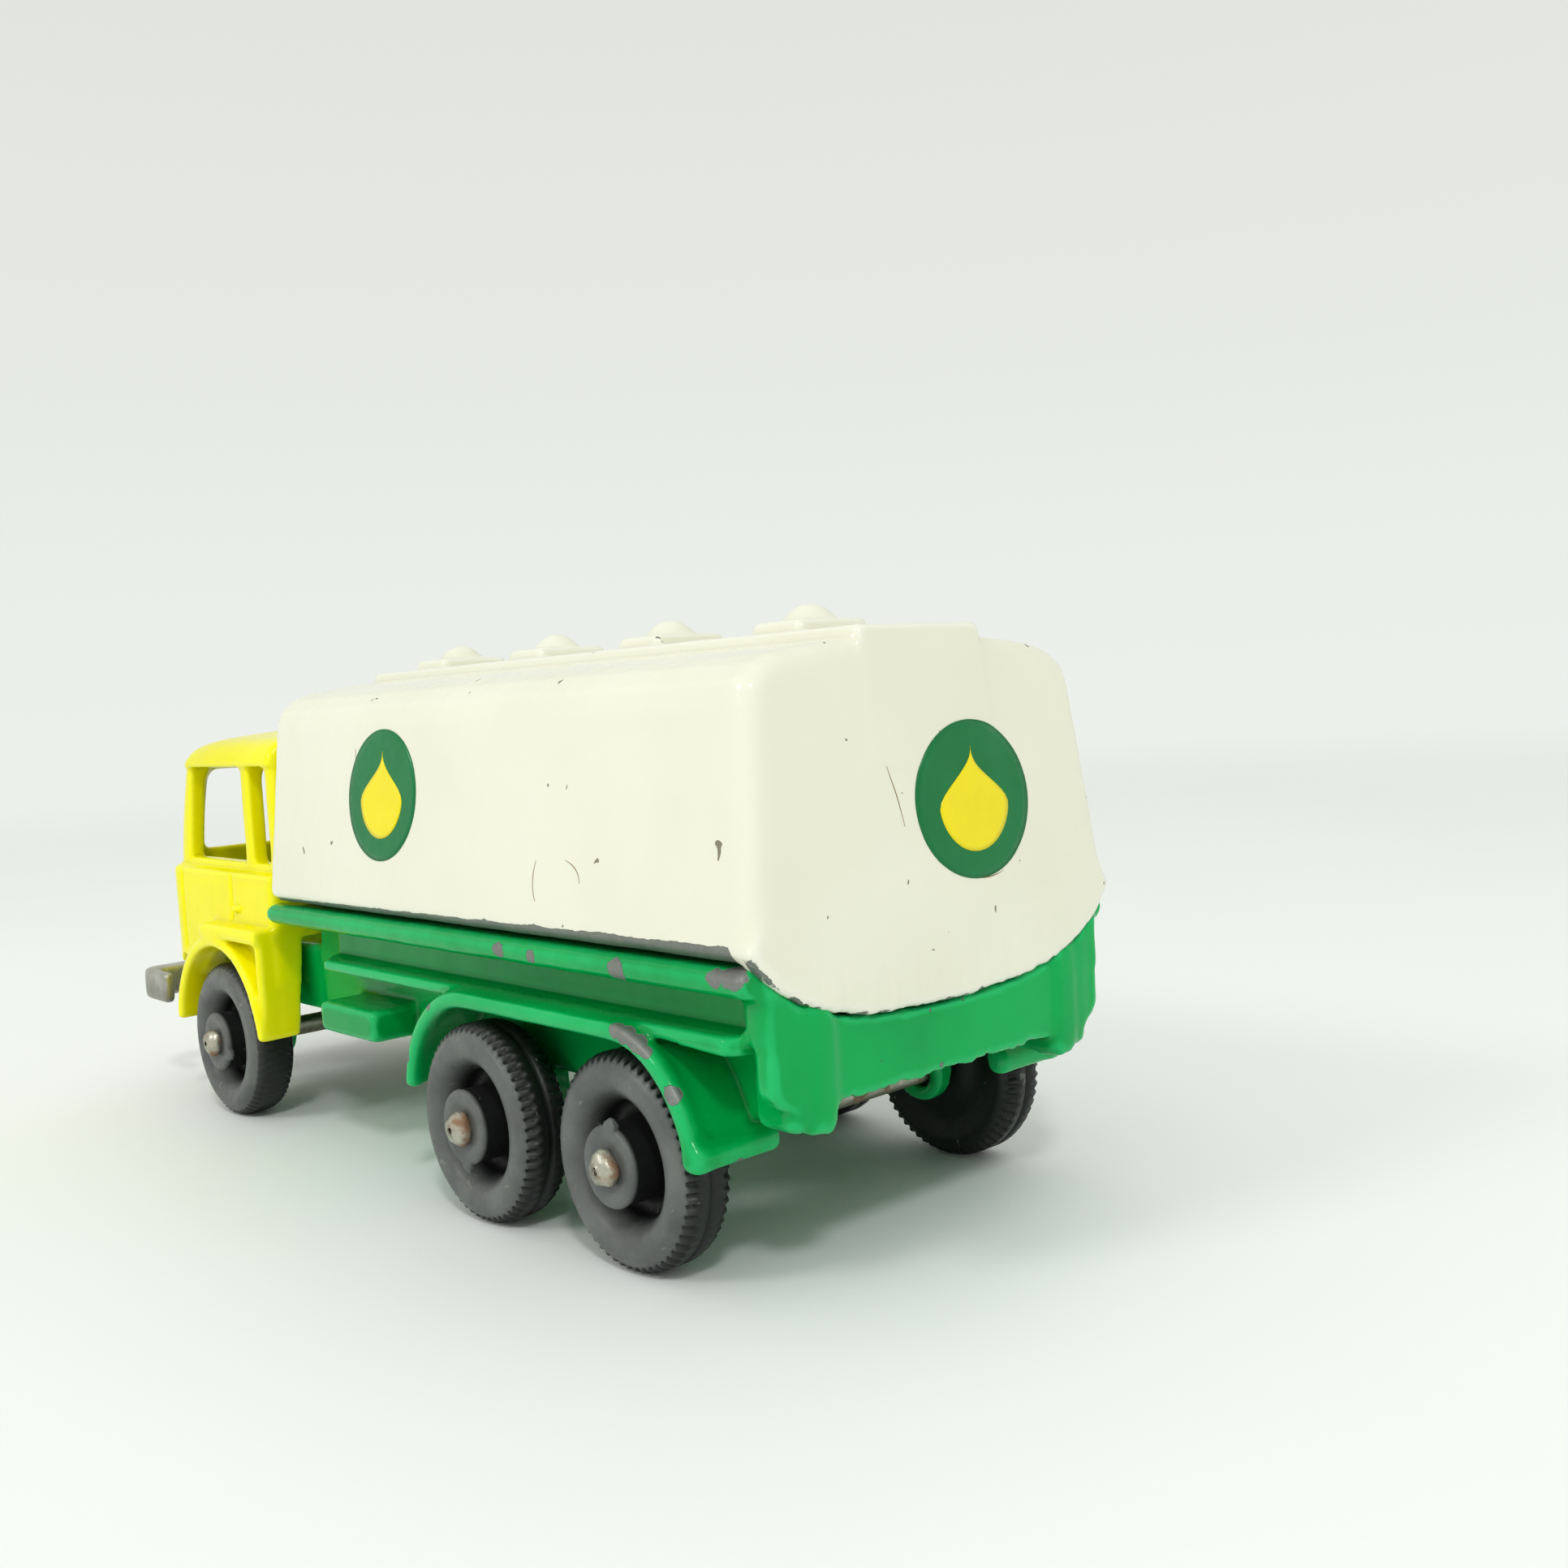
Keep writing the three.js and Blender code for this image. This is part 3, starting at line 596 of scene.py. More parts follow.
def band(inset, width):
    return [*mudguard_path(inset), *reversed(mudguard_path(inset + width))]


RAIL_SECTION = [  # (y, z)
    (9.0, 14.6),
    (12.95, 14.6),
    (13.35, 15.0),
    (13.4, 15.5),
    (12.95, 15.95),
    (9.0, 15.95),
]
REAR_SECTION = [  # (y, z) of the valance
    (12.1, DECK_TOP_Z),
    (12.1, 10.2),
    (11.6, 9.5),
    (10.6, 9.1),
]


def chassis_field(p):
    rear = CHASSIS_LOW.x
    inner_y = WEB_Y - 0.3
    rail = polygon(p.y, p.z, RAIL_SECTION)
    field = blunt(rail, span(p.x, rear + 0.4, DECK_FRONT_X), r=0.18)
    deck = brick(p, (rear, DECK_FRONT_X), (-WEB_Y, WEB_Y), (14.6, DECK_TOP_Z), 0.15)
    field = join(field, deck, 0.2)
    wall = brick(p, (rear + 0.4, REAR_X + 33.2), (WEB_Y - 1, 11.0), (11.9, SILL_Z - 0.4), 0.2)
    field = join(field, wall, 0.5)
    web = brick(p, (rear, DECK_FRONT_X), (WEB_Y - WALL, WEB_Y), (WEB_Z, SILL_Z - 0.4), 0.3)
    neck_web = brick(p, (rear, CHASSIS_HIGH.x), (WEB_Y - WALL, WEB_Y), (WEB_Z, 12.5), 0.3)
    field = join(join(field, web, 0.3), neck_web, 0.3)
    neck = brick(p, (DECK_FRONT_X - WALL, CHASSIS_HIGH.x), (-WEB_Y, WEB_Y), (11.3, 12.5), 0.25)
    step = brick(p, (DECK_FRONT_X - WALL, DECK_FRONT_X), (-WEB_Y, WEB_Y), (11.3, DECK_TOP_Z), 0.25)
    field = join(field, join(neck, step, 0.5), 0.3)
    field = join(field, ledge(p), 0.25)
    field = join(field, mudguard(p), 0.3)
    box = brick(p, (REAR_X + 25.4, REAR_X + 32.7), (inner_y, LEDGE_Y), (WEB_Z, 9.95), 0.35)
    field = join(field, box, 0.4)
    field = join(field, rear_end(p), 0.6)
    for x in (REAR_X, MIDDLE_X, FRONT_X):
        ring = blunt(rod(p.x, p.z, (x, AXLE_Z), 1.75), span(p.y, WEB_Y - WALL, WEB_Y), r=0.2)
        plate = brick(p, (x - 1.6, x + 1.6), (WEB_Y - WALL, WEB_Y), (AXLE_Z, WEB_Z + 1), 0.2)
        hole = np.maximum(rod(p.x, p.z, (x, AXLE_Z), 0.95), span(p.y, 5, 12))
        field = carve(join(field, join(ring, plate, 0.5), 0.4), hole, 0.15)
    belly = (REAR_X + 21.5, REAR_X + 32.5)
    field = join(field, brick(p, belly, (-WEB_Y, WEB_Y), (WEB_Z, WEB_Z + WALL), 0.25), 0.4)
    pad = brick(p, (belly[0] + 1, belly[1] - 1), (-6, 6), (6.9, WEB_Z + 0.3), 0.12)
    field = join(field, pad, 0.2)
    return join(field, base_posts(p), 0.25)


def ledge(p):
    """A thin shelf along the side, drawn out to a blade behind the mudguard."""
    rear = REAR_X - 8.6
    plan = [
        (rear, 9.0),
        (rear, LEDGE_Y - 0.5),
        (rear + 0.6, LEDGE_Y),
        (REAR_X + 31.6, LEDGE_Y),
        (REAR_X + 33.3, LEDGE_Y - 1.3),
        (REAR_X + 33.3, 9.0),
    ]
    tilt = 0.25 * ease(-p.x, -(REAR_X - 3), -rear)
    return blunt(polygon(p.x, p.y, plan), span(p.z, LEDGE_Z - 0.7 - tilt, LEDGE_Z), r=0.14)


def mudguard(p):
    sheet = blunt(polygon(p.x, p.z, band(0, 0.62)), span(p.y, WEB_Y - 1.3, MUDGUARD_Y), r=0.2)
    rim = span(p.y, MUDGUARD_Y - 0.75, MUDGUARD_Y)
    rim = blunt(polygon(p.x, p.z, band(-0.12, 0.78)), rim, r=0.3)
    hem_x, hem_z = mudguard_path(0)[0]
    curl = blunt(
        rod(p.x, p.z, (hem_x + 0.05, hem_z + 0.42), 0.5), span(p.y, WEB_Y - WALL, MUDGUARD_Y), r=0.25
    )
    return join(join(sheet, rim, 0.5), curl, 0.7)


def rear_end(p):
    """The valance across the back, with a blunt post at each end of it."""
    rear = CHASSIS_LOW.x
    wall = blunt(polygon(p.y, p.z, mirrored(REAR_SECTION)), span(p.x, rear, rear + 1.3), r=0.22)
    post = brick(p, (rear + 0.02, rear + 2.8), (8.1, 11.0), (8.1, SILL_Z - 0.4), 0.55)
    gusset = brick(p, (rear + 0.1, rear + 2.0), (8.1, 12.1), (12.2, SILL_Z - 0.4), 0.5)
    field = join(join(wall, post, 0.4), gusset, 0.4)
    room = polygon(p.y, p.z, back_panel_outline(0.06))
    return carve(field, np.maximum(room, p.x - TANK_LOW.x - 1.35), 0.1)


def base_posts(p):
    field = np.float32(1e3)
    for x in BASE_POST_XS:
        across = np.hypot(p.x - x, p.y)
        shank = blunt(across - 0.9, span(p.z, 6.3, 12), r=0.1)
        head = blunt(across - 1.6, span(p.z, 6.2, 6.75), r=0.2)
        field = np.minimum(field, np.minimum(shank, head))
    return field


def ragged_chassis(vertices):
    """Flash along the foot of the valance."""
    x, y, z = vertices.T
    foot = (x < CHASSIS_LOW.x + 1.6) * (np.abs(y) < 10.4) * (1 - ease(z, 9.2, 9.9))
    vertices[:, 2] += (0.12 * wander(y, 3.4, 4) + 0.05 * wander(y, 0.8, 6) - 0.05) * foot
    return vertices


# ------------ cab casting

WAIST_Z = 17.8
ROOF_EDGE_Z = 25.2
ARCH_RADIUS = 6.75
BODY_Y = 12.15
PILLAR_Y = 11.45
ROOF_Y = 11.8


def cab_outer(p):
    lean = 2.4 * ease(p.z, WAIST_Z - 0.5, ROOF_EDGE_Z + 2.5)
    inset = (BODY_Y - PILLAR_Y) * ease(p.z, WAIST_Z - 0.35, WAIST_Z + 0.05)
    inset = inset - (ROOF_Y - PILLAR_Y) * ease(p.z, ROOF_EDGE_Z - 0.3, ROOF_EDGE_Z + 0.1)
    x = p.x + lean
    bow = 0.25 * (p.y / BODY_Y) ** 2  # the front is bowed a little in plan
    rear, front = CAB_LOW.x - 8, CAB_HIGH.x
    plan = blunt(span(x + bow, rear, front), span(p.y + inset, -BODY_Y, BODY_Y), r=3.0)
    crown = CAB_HIGH.z - 0.9 * (p.y / BODY_Y) ** 2 - 0.02 * np.maximum(p.x - 24, 0) ** 2
    field = common(plan, p.z - crown, 2.2)
    return common(field, CAB_LOW.x - p.x, 0.6)


def cab_windows(p):
    """Openings for the windscreen, the doors, the rear quarters and the back."""
    sill, head = WAIST_Z + 0.5, ROOF_EDGE_Z - 0.1
    door = [
        (FRONT_X - 2.0, sill),
        (FRONT_X + 8.1, sill),
        (FRONT_X + 6.7, head),
        (FRONT_X - 2.0, head),
    ]
    sides = span(p.y, 8.5, 14)
    field = blunt(polygon(p.x, p.z, door), sides, r=0.5)
    quarter = brick(p, (FRONT_X - 6.1, FRONT_X - 3.3), (8.5, 14), (sill, head), 0.4)
    pane = brick(p, (FRONT_X + 8, CAB_HIGH.x + 1), (0.55, 9.3), (sill + 0.3, head - 0.3), 0.7)
    back = brick(p, (CAB_LOW.x - 1, CAB_LOW.x + 2), (-8.8, 8.8), (WAIST_Z + 1.5, head - 0.5), 0.6)
    return np.minimum(np.minimum(field, quarter), np.minimum(pane, back))


def wheel_arch(p):
    """Room for a front wheel."""
    return np.maximum(rod(p.x, p.z, (FRONT_X, AXLE_Z), ARCH_RADIUS), 8.5 - p.y)


def front_mudguard(p):
    """A lipped arch over the wheel, with a flat shelf and a rounded corner post behind it."""
    foot, lip = 9.95, CAB_HIGH.y
    radius = np.hypot(p.x - FRONT_X, p.z - AXLE_Z)
    slope = [
        (ARCH_RADIUS, foot),
        (ARCH_RADIUS + 0.9, BODY_Y - 1.0),
        (ARCH_RADIUS + 1.8, BODY_Y - 0.1),
        (ARCH_RADIUS + 0.8, lip - 0.25),
    ]
    slope = np.maximum(polygon(radius, p.y, slope), FRONT_X - 0.5 - p.x)
    ring = blunt(span(radius, ARCH_RADIUS, ARCH_RADIUS + 0.8), span(p.y, foot, lip + 0.04), r=0.3)
    ring = join(ring, slope, 0.5)
    rear = CAB_LOW.x
    shelf = brick(p, (rear + 0.05, FRONT_X + 2.2), (BODY_Y - 1.2, lip + 0.05), (12.95, 13.95), 0.3)
    post = brick(p, (rear, rear + 0.95), (foot, lip - 0.25), (CAB_LOW.z, 13.4), 0.35)
    panel = brick(p, (rear, FRONT_X - 3), (foot, BODY_Y - 0.2), (CAB_LOW.z, 13.4), 0.3)
    field = join(join(ring, shelf, 0.35), join(post, panel, 0.35), 0.3)
    field = carve(field, wheel_arch(p), 0.15)
    return common(common(field, CAB_LOW.z - p.z, 0.3), CAB_LOW.x - p.x, 0.3)


def grille(p):
    """Relief on the nose: a slatted grille between two round lamps."""
    nose = CAB_HIGH.x
    field = brick(p, (nose - 0.22, nose + 1), (-5.4, 5.4), (11.6, 15.6), 0.1)
    for i in range(4):
        z = 12.25 + 0.9 * i
        field = carve(field, brick(p, (nose - 1, nose + 1), (-5.0, 5.0), (z - 0.2, z + 0.2), 0.05), 0.1)
    return field


def lamps(p):
    """A round lens in a raised ring."""
    across = np.hypot(p.y - 7.9, p.z - 13.2)
    lens = blunt(across - 1.35, span(p.x, CAB_HIGH.x - 1.6, CAB_HIGH.x + 0.12), r=0.4)
    ring = np.hypot(across - 1.45, p.x - CAB_HIGH.x + 0.2) - 0.22
    return join(lens, ring, 0.1)


def cab_field(p):
    outer = cab_outer(p)
    shell = carve(outer, outer + WALL, 0.2)
    shell = common(shell, HINGE.z + 0.1 - p.z, 0.3)
    shell = carve(shell, cab_windows(p), 0.25)
    shell = carve(shell, wheel_arch(p), 0.2)
    field = join(shell, front_mudguard(p), 0.5)
    seam = brick(p, (FRONT_X - 0.85, FRONT_X - 0.6), (11.98, 14), (14.1, WAIST_Z - 0.3), 0.02)
    front_seam = brick(p, (FRONT_X + 8.2, FRONT_X + 8.45), (11.95, 14), (11.5, WAIST_Z - 0.3), 0.02)
    belt = brick(p, (CAB_LOW.x - 1, CAB_HIGH.x - 3), (12.02, 14), (16.95, 17.15), 0.02)
    field = carve(field, np.minimum(np.minimum(seam, front_seam), belt), 0.1)
    handle = brick(p, (FRONT_X - 2.3, FRONT_X - 1.1), (11.9, 12.5), (14.85, 15.2), 0.15)
    field = join(field, handle, 0.1)
    field = join(carve(field, grille(p), 0.1), lamps(p), 0.1)
    eye = blunt(rod(p.x, p.z, (HINGE.x, HINGE.z), 1.6), span(p.y, 8.8, 10.2), r=0.15)
    arm = (HINGE.x - 1.6, CAB_HIGH.x - 0.6)
    arm = brick(p, arm, (8.8, 10.2), (HINGE.z + 0.4, HINGE.z + 3.4), 0.15)
    bore = np.maximum(rod(p.x, p.z, (HINGE.x, HINGE.z), 0.8), span(p.y, 5, 12))
    field = carve(join(field, join(eye, arm, 0.3), 0.3), bore, 0.1)
    opening = polygon(p.y, p.z, [(-10.9, 4), (10.9, 4), (10.1, 13.1), (-10.1, 13.1)])
    return carve(field, np.maximum(opening, p.x - CAB_LOW.x - 1.9), 0.25)


# ------------ bare front base


def bumper_outline():
    """Left half of the bumper bar's plan, wrapped back round the corner of the cab, as (x, y)."""
    front, half = BASE_HIGH.x, BASE_HIGH.y
    back, tip, bend = front - 2.0, front - 5.7, front - 0.6
    outer = [(tip, half), (back, half)]
    corner = bezier((back, half), (bend, half), (bend, half - 0.8), (front - 0.5, half - 1.3), 6)
    outer += corner[1:]
    outer += [(front - 0.12, 6.5), (front, 0.01)]
    inner = [(back, 0.01), (back, half - 1.2), (back - 0.5, half - 0.8), (tip, half - 0.8)]
    return [*outer, *inner]


def base_field(p):
    bar = polygon(p.x, np.abs(p.y), bumper_outline())
    field = blunt(bar, span(p.z, BASE_LOW.z + 0.7, BASE_LOW.z + 3.1), r=0.35)
    plate_front = HINGE.x + 1.6
    tongue = brick(p, (FRONT_X - 5.4, plate_front), (-4.2, 4.2), (7.0, 8.0), 0.2)
    plate = brick(p, (HINGE.x - 6.0, plate_front), (-8.4, 8.4), (7.0, 8.0), 0.2)
    link = brick(p, (plate_front - 1, BASE_HIGH.x - 1.5), (-8.4, 8.4), (6.3, 7.1), 0.2)
    field = join(field, join(join(tongue, plate, 0.3), link, 0.3), 0.3)
    eye = blunt(rod(p.x, p.z, (HINGE.x, HINGE.z), 1.6), span(p.y, 7.0, 8.4), r=0.15)
    ear = brick(p, (HINGE.x - 1.6, HINGE.x + 1.1), (7.0, 8.4), (7.2, HINGE.z), 0.15)
    bore = np.maximum(rod(p.x, p.z, (HINGE.x, HINGE.z), 0.72), span(p.y, 5, 12))
    field = carve(join(field, join(eye, ear, 0.3), 0.3), bore, 0.1)
    for x in BASE_POST_XS:
        field = carve(field, np.maximum(np.hypot(p.x - x, p.y) - 1.0, span(p.z, 5, 9)), 0.1)
    return field


# ------------ wheels, axles and pin


def turned(profile, segments, place, side=1, shape=None):
    """Vertices and quads of a profile of (radius, y) turned about a line along Y.

    shape takes a ring's place in the profile and its angles, and returns factors for its radii.
    """
    angles = np.arange(segments) * 2 * math.pi / segments
    rings = []
    for i, (radius, y) in enumerate(profile):
        radii = radius * (np.ones(segments) if shape is None else shape(i, angles))
        rings.append(
            np.stack([radii * np.cos(angles), np.full(segments, side * y), radii * np.sin(angles)], 1)
        )
    vertices = np.concatenate(rings) + np.array(place)
    faces = []
    for i in range(len(profile) - 1):
        for j in range(segments):
            a, b = i * segments + j, i * segments + (j + 1) % segments
            quad = [a, b, b + segments, a + segments]
            faces.append(quad if side > 0 else quad[::-1])
    for i, face in ((0, range(segments)), (len(profile) - 1, range(segments)[::-1])):
        ring = [i * segments + j for j in face]
        faces.append(ring if side > 0 else ring[::-1])
    return vertices, faces


TYRE_WIDTH = 3.2
BOSS_STAND = 0.5  # how far the boss stands out of the tyre
TEETH = 58
TOOTH_STEPS = 6  # segments to one tooth and its gap


def arc(centre, radius, start, end, steps):
    """Points of (radius, y) along an arc; angles in degrees from the outward radius towards +y."""
    turns = np.radians(np.linspace(start, end, steps))
    return [(centre[0] + radius * math.cos(t), centre[1] + radius * math.sin(t)) for t in turns]


def wheel_profile(face, back, twin):
    """Half section of a wheel from its inner bore, round the tread, to its outer bore."""
    tread = WHEEL_RADIUS
    middle = (face + back) / 2
    groove = [(tread, middle - 0.16), (tread - 0.22, middle), (tread, middle + 0.16)]
    shoulder = [(tread - 0.03, back + 0.75), (tread, back + 0.9)]
    outer = [(tread, face - 0.9), (tread - 0.03, face - 0.75)]
    return [
        (0.75, back - 0.1),
        (2.3, back - 0.1),
        (2.6, back + 0.25),
        (3.4, back + 0.2),
        *arc((4.45, back + 0.75), 0.75, -110, -35, 5),
        (tread - 0.22, back + 0.35),
        *shoulder,
        *(groove if twin else [(tread, middle)]),
        *outer,
        (tread - 0.22, face - 0.36),
        *arc((4.42, face - 0.82), 0.84, 38, 90, 5),
        *arc((4.25, face - 1.0), 1.02, 92, 150, 5)[1:],
        (3.08, face - 0.9),
        (2.93, face - 1.5),
        (2.88, face - 2.1),
        (2.2, face - 2.15),
        (2.05, face - 2.0),
        (2.03, face - 0.5),
        (2.03, face + 0.1),
        (2.08, face + 0.3),
        (2.0, face + 0.45),
        (1.85, face + 0.5),
        (1.3, face + 0.47),
        (1.12, face + 0.38),
        (0.75, face + 0.38),
    ]


def make_wheel(node):
    """A wheel with notched tyre shoulders, for a node named PLACE_wheel_SIDE."""
    place, _, side_name = node.split("_")
    side = 1 if side_name == "left" else -1
    low, high = millimetres(node)
    face = max(abs(low.y), abs(high.y)) - BOSS_STAND
    twin = place != "front"
    back = face - TYRE_WIDTH
    profile = wheel_profile(face, back, twin)
    segments = TEETH * TOOTH_STEPS
    edge_rings = [
        i
        for i, (radius, y) in enumerate(profile)
        if radius > WHEEL_RADIUS - 0.3 and min(abs(y - back), abs(face - y)) < 0.8
    ]
    depth = 0.05 if twin else 0.02

    def teeth(i, angles):
        if i not in edge_rings:
            return np.ones(segments)
        step = np.arange(segments) % TOOTH_STEPS
        return 1 - depth * np.isin(step, (0, 1)) - 0.35 * depth * np.isin(step, (2, 5))

    centre = (AXLES[place].x, 0, AXLES[place].z)
    vertices, faces = turned(profile, segments, centre, side, teeth)
    piece = new_piece(node + "_tyre", node, vertices, faces, PLASTIC, [node])
    # dark rings: the tread as the plastic's own colour, and the recess and the side of the boss as
    # painted shade
    black_and_shade = [
        max(
            ease(radius, WHEEL_RADIUS - 0.5, WHEEL_RADIUS - 0.1),
            ease(face - y, 0.5, 1.5),
            2.01 < radius < 2.06,
        )
        for radius, y in profile
    ]
    add_attribute(piece, "black_and_shade", np.repeat(black_and_shade, segments))
    add_nib(node, centre, side, face)


NIB_TURN = {"front": 200, "middle": 265, "rear": 98}  # where the moulding nib stands, in degrees


def add_nib(node, centre, side, face):
    """The torn gate of the moulding on the rim of the boss."""
    place = node.split("_")[0]
    turn = math.radians(NIB_TURN[place])
    out = np.array([math.cos(turn), 0, math.sin(turn)])
    across = np.array([-math.sin(turn), 0, math.cos(turn)])
    up = np.array([0, side, 0])
    sections = ((1.7, 0.5, 0.2, 0.5), (2.2, 0.42, 0.1, 0.52), (2.5, 0.12, 0.2, 0.42))
    rows = []
    for reach, width, low, high in sections:
        for w, h in ((-width, low), (width, low), (width, high), (-width, high)):
            rows.append(np.array(centre) + out * reach + across * w + up * (face + h))
    faces = [[0, 3, 2, 1], [8, 9, 10, 11]]
    for ring in (0, 4):
        for i in range(4):
            j = (i + 1) % 4
            faces.append([ring + i, ring + j, ring + 4 + j, ring + 4 + i])
    if side > 0:
        faces = [corners[::-1] for corners in faces]
    nib = new_piece(node + "_nib", node, np.array(rows), faces, PLASTIC)
    bevel = nib.modifiers.new("soft", "BEVEL")
    bevel.width = 0.08 * MM
    bevel.segments = 2


HEAD_HEIGHT = 0.65
HEAD_DROP = 0.28  # a head sits this much closer to the boss than in the frame


def make_axle(place):
    """A steel rod with a domed, hammered head at each end."""
    node = place + "_axle"
    seat = millimetres(node)[1].y - HEAD_HEIGHT - HEAD_DROP
    half = [
        (0.7, 0.0),
        (0.7, seat - 0.2),
        (0.88, seat - 0.05),
        (0.93, seat + 0.12),
        (0.9, seat + 0.32),
        (0.76, seat + 0.55),
        (0.48, seat + 0.7),
        (0.2, seat + 0.75),
    ]
    profile = [*[(r, -y) for r, y in reversed(half[1:])], *half[1:]]
    seed = {"front": 0.4, "middle": 1.9, "rear": 3.3}[place]

    def struck(i, angles):
        """Hammered heads are a little out of round."""
        on_head = abs(profile[i][1]) > seat - 0.1
        return 1 + on_head * (0.07 * np.sin(3 * angles + seed) + 0.05 * np.sin(5 * angles + i + seed))

    centre = (AXLES[place].x, 0, AXLES[place].z)
    vertices, faces = turned(profile, 28, centre, 1, struck)
    new_piece(node + "_rod", node, vertices, faces, STEEL, [node])


def make_pin():
    half = PIN_HALF_LENGTH
    profile = [
        (0.35, -half),
        (0.55, -half + 0.12),
        (0.6, -half + 0.4),
        (0.6, half - 0.4),
        (0.55, half - 0.12),
        (0.35, half),
    ]
    vertices, faces = turned(profile, 28, (HINGE.x, 0, HINGE.z))
    new_piece("hinge_pin", "truck", vertices, faces, STEEL, ["cab_hinge_pin"])


# ------------ transfers


def surface_of(piece):
    return BVHTree.FromObject(piece, bpy.context.evaluated_depsgraph_get())


def laid_on(target, outline, centre, normal, lift):
    """Lays a flat outline, in millimetres across and up, on the surface of a piece."""
    tree = surface_of(target)
    normal = Vector(normal).normalized()
    up = (Vector((0, 0, 1)) - normal * normal.z).normalized()
    across = up.cross(normal)
    laid = []
    for a, b in outline:
        start = (Vector(centre) + across * a + up * b + normal * 6) * MM
        hit, facing, _, _ = tree.ray_cast(start, -normal)
        laid.append(hit / MM + facing * lift)
    return [tuple(point) for point in laid]


def emblem_part(name, target, shape, rings, centre, normal, lift, ink):
    """A filled outline made of shrunken copies of itself, so that it follows the surface."""
    count = len(shape)
    points = []
    for i in range(rings):
        scale = 1 - i / rings
        points += [(a * scale, b * scale) for a, b in shape]
    points.append((0, 0))
    laid = laid_on(target, points, centre, normal, lift)
    faces = []
    for i in range(rings - 1):
        for j in range(count):
            a, b = i * count + j, i * count + (j + 1) % count
            faces.append([a, b, b + count, a + count])
    last = (rings - 1) * count
    faces += [[last + j, last + (j + 1) % count, rings * count] for j in range(count)]
    piece = new_piece(name, "truck", np.array(laid), faces, ink)
    solid = piece.modifiers.new("film", "SOLIDIFY")
    solid.thickness = 0.03 * MM
    solid.offset = -1


def oval(width, height):
    turns = np.arange(64) * 2 * math.pi / 64
    return [(width / 2 * math.cos(t), height / 2 * math.sin(t)) for t in turns]


def drop(width, height):
    """A drop with its point up."""
    turns = np.arange(48) * 2 * math.pi / 48
    return [
        (width / 2 * math.cos(t) * (1 - ease(math.sin(t), -0.2, 1.0)), height / 2 * math.sin(t))
        for t in turns
    ]


def make_emblem(name, target, centre, normal, width, height):
    """A plain oval with a drop in it."""
    field, sign = oval(width, height), drop(width * 0.62, height * 0.66)
    emblem_part(name + "_field", target, field, 10, centre, normal, 0.03, GREEN_INK)
    emblem_part(name + "_drop", target, sign, 8, centre, normal, 0.05, YELLOW_INK)


FIBRE_STEPS = 12
FIBRES = [  # (side of the tank, three bends as (along the side, z)) of each hair or scratch
    ((0, 1, 0), [(-20.6, 20.2), (-20.1, 19.1), (-20.6, 18.1)]),
    ((0, 1, 0), [(-23.2, 20.3), (-24.4, 20.0), (-24.5, 19.2)]),
    ((0, 1, 0), [(-0.3, 26.2), (-0.6, 24.6), (0.0, 22.8)]),
    ((0, -1, 0), [(-28.0, 21.0), (-26.6, 21.8), (-25.9, 20.4)]),
    ((-1, 0, 0), [(3.6, 24.3), (3.0, 23.0), (2.7, 21.3)]),
    ((-1, 0, 0), [(-1.7, 18.4), (-2.9, 18.0), (-4.2, 18.4)]),
]


def make_fibres(tank):
    """Hairs and fine scratches caught in the white paint, all in one mesh."""
    tree = surface_of(tank)
    vertices, faces = [], []
    for side, (a, b, c) in FIBRES:
        side = Vector(side)
        across = Vector((abs(side.y), abs(side.x), 0))
        points = []
        for i in range(FIBRE_STEPS + 1):
            t = i / FIBRE_STEPS
            u, z = [p * (1 - t) ** 2 + 2 * q * t * (1 - t) + r * t * t for p, q, r in zip(a, b, c)]
            start = (across * u + Vector((0, 0, z)) + side * 50) * MM
            hit, _, _, _ = tree.ray_cast(start, -side)
            points.append(hit / MM)
        for i, point in enumerate(points):
            ahead = (points[min(i + 1, FIBRE_STEPS)] - points[max(i - 1, 0)]).normalized()
            swell = math.sin(math.pi * (i + 0.6) / (FIBRE_STEPS + 1.2))
            out = ahead.cross(side) * 0.035 * swell
            if i:
                ring = len(vertices)
                for j in range(4):
                    k = (j + 1) % 4
                    faces.append([ring - 4 + j, ring - 4 + k, ring + k, ring + j])
            lift = side * 0.025
            vertices += [point + out, point + lift, point - out, point - lift]
    s = Shader("fibre")
    s.set(Base_Color=s.mix(s.noise(0.4), shade(176, 140, 104), shade(120, 104, 84)), Roughness=0.6)
    new_piece("tank_fibres", "truck", [tuple(v) for v in vertices], faces, s.material)


# ------------ floor, light and camera


HORIZON = shade(237, 240, 236)
SURROUND = 0.84  # strength of the surround
FLOOR_RINGS = (0.3, 1.0, 3.0)  # radii in metres
MELT = (0.12, 0.6)  # the floor turns into the surround between these radii
AIM = (0, 0, 0.01)  # what the lamps point at, in metres
LAMPS = [  # (name, place in metres, size in metres, watts)
    ("key", (0.10, 0.42, 0.34), 0.14, 0.42),
    ("glint", (-0.34, 0.22, 0.40), 0.07, 0.55),
]


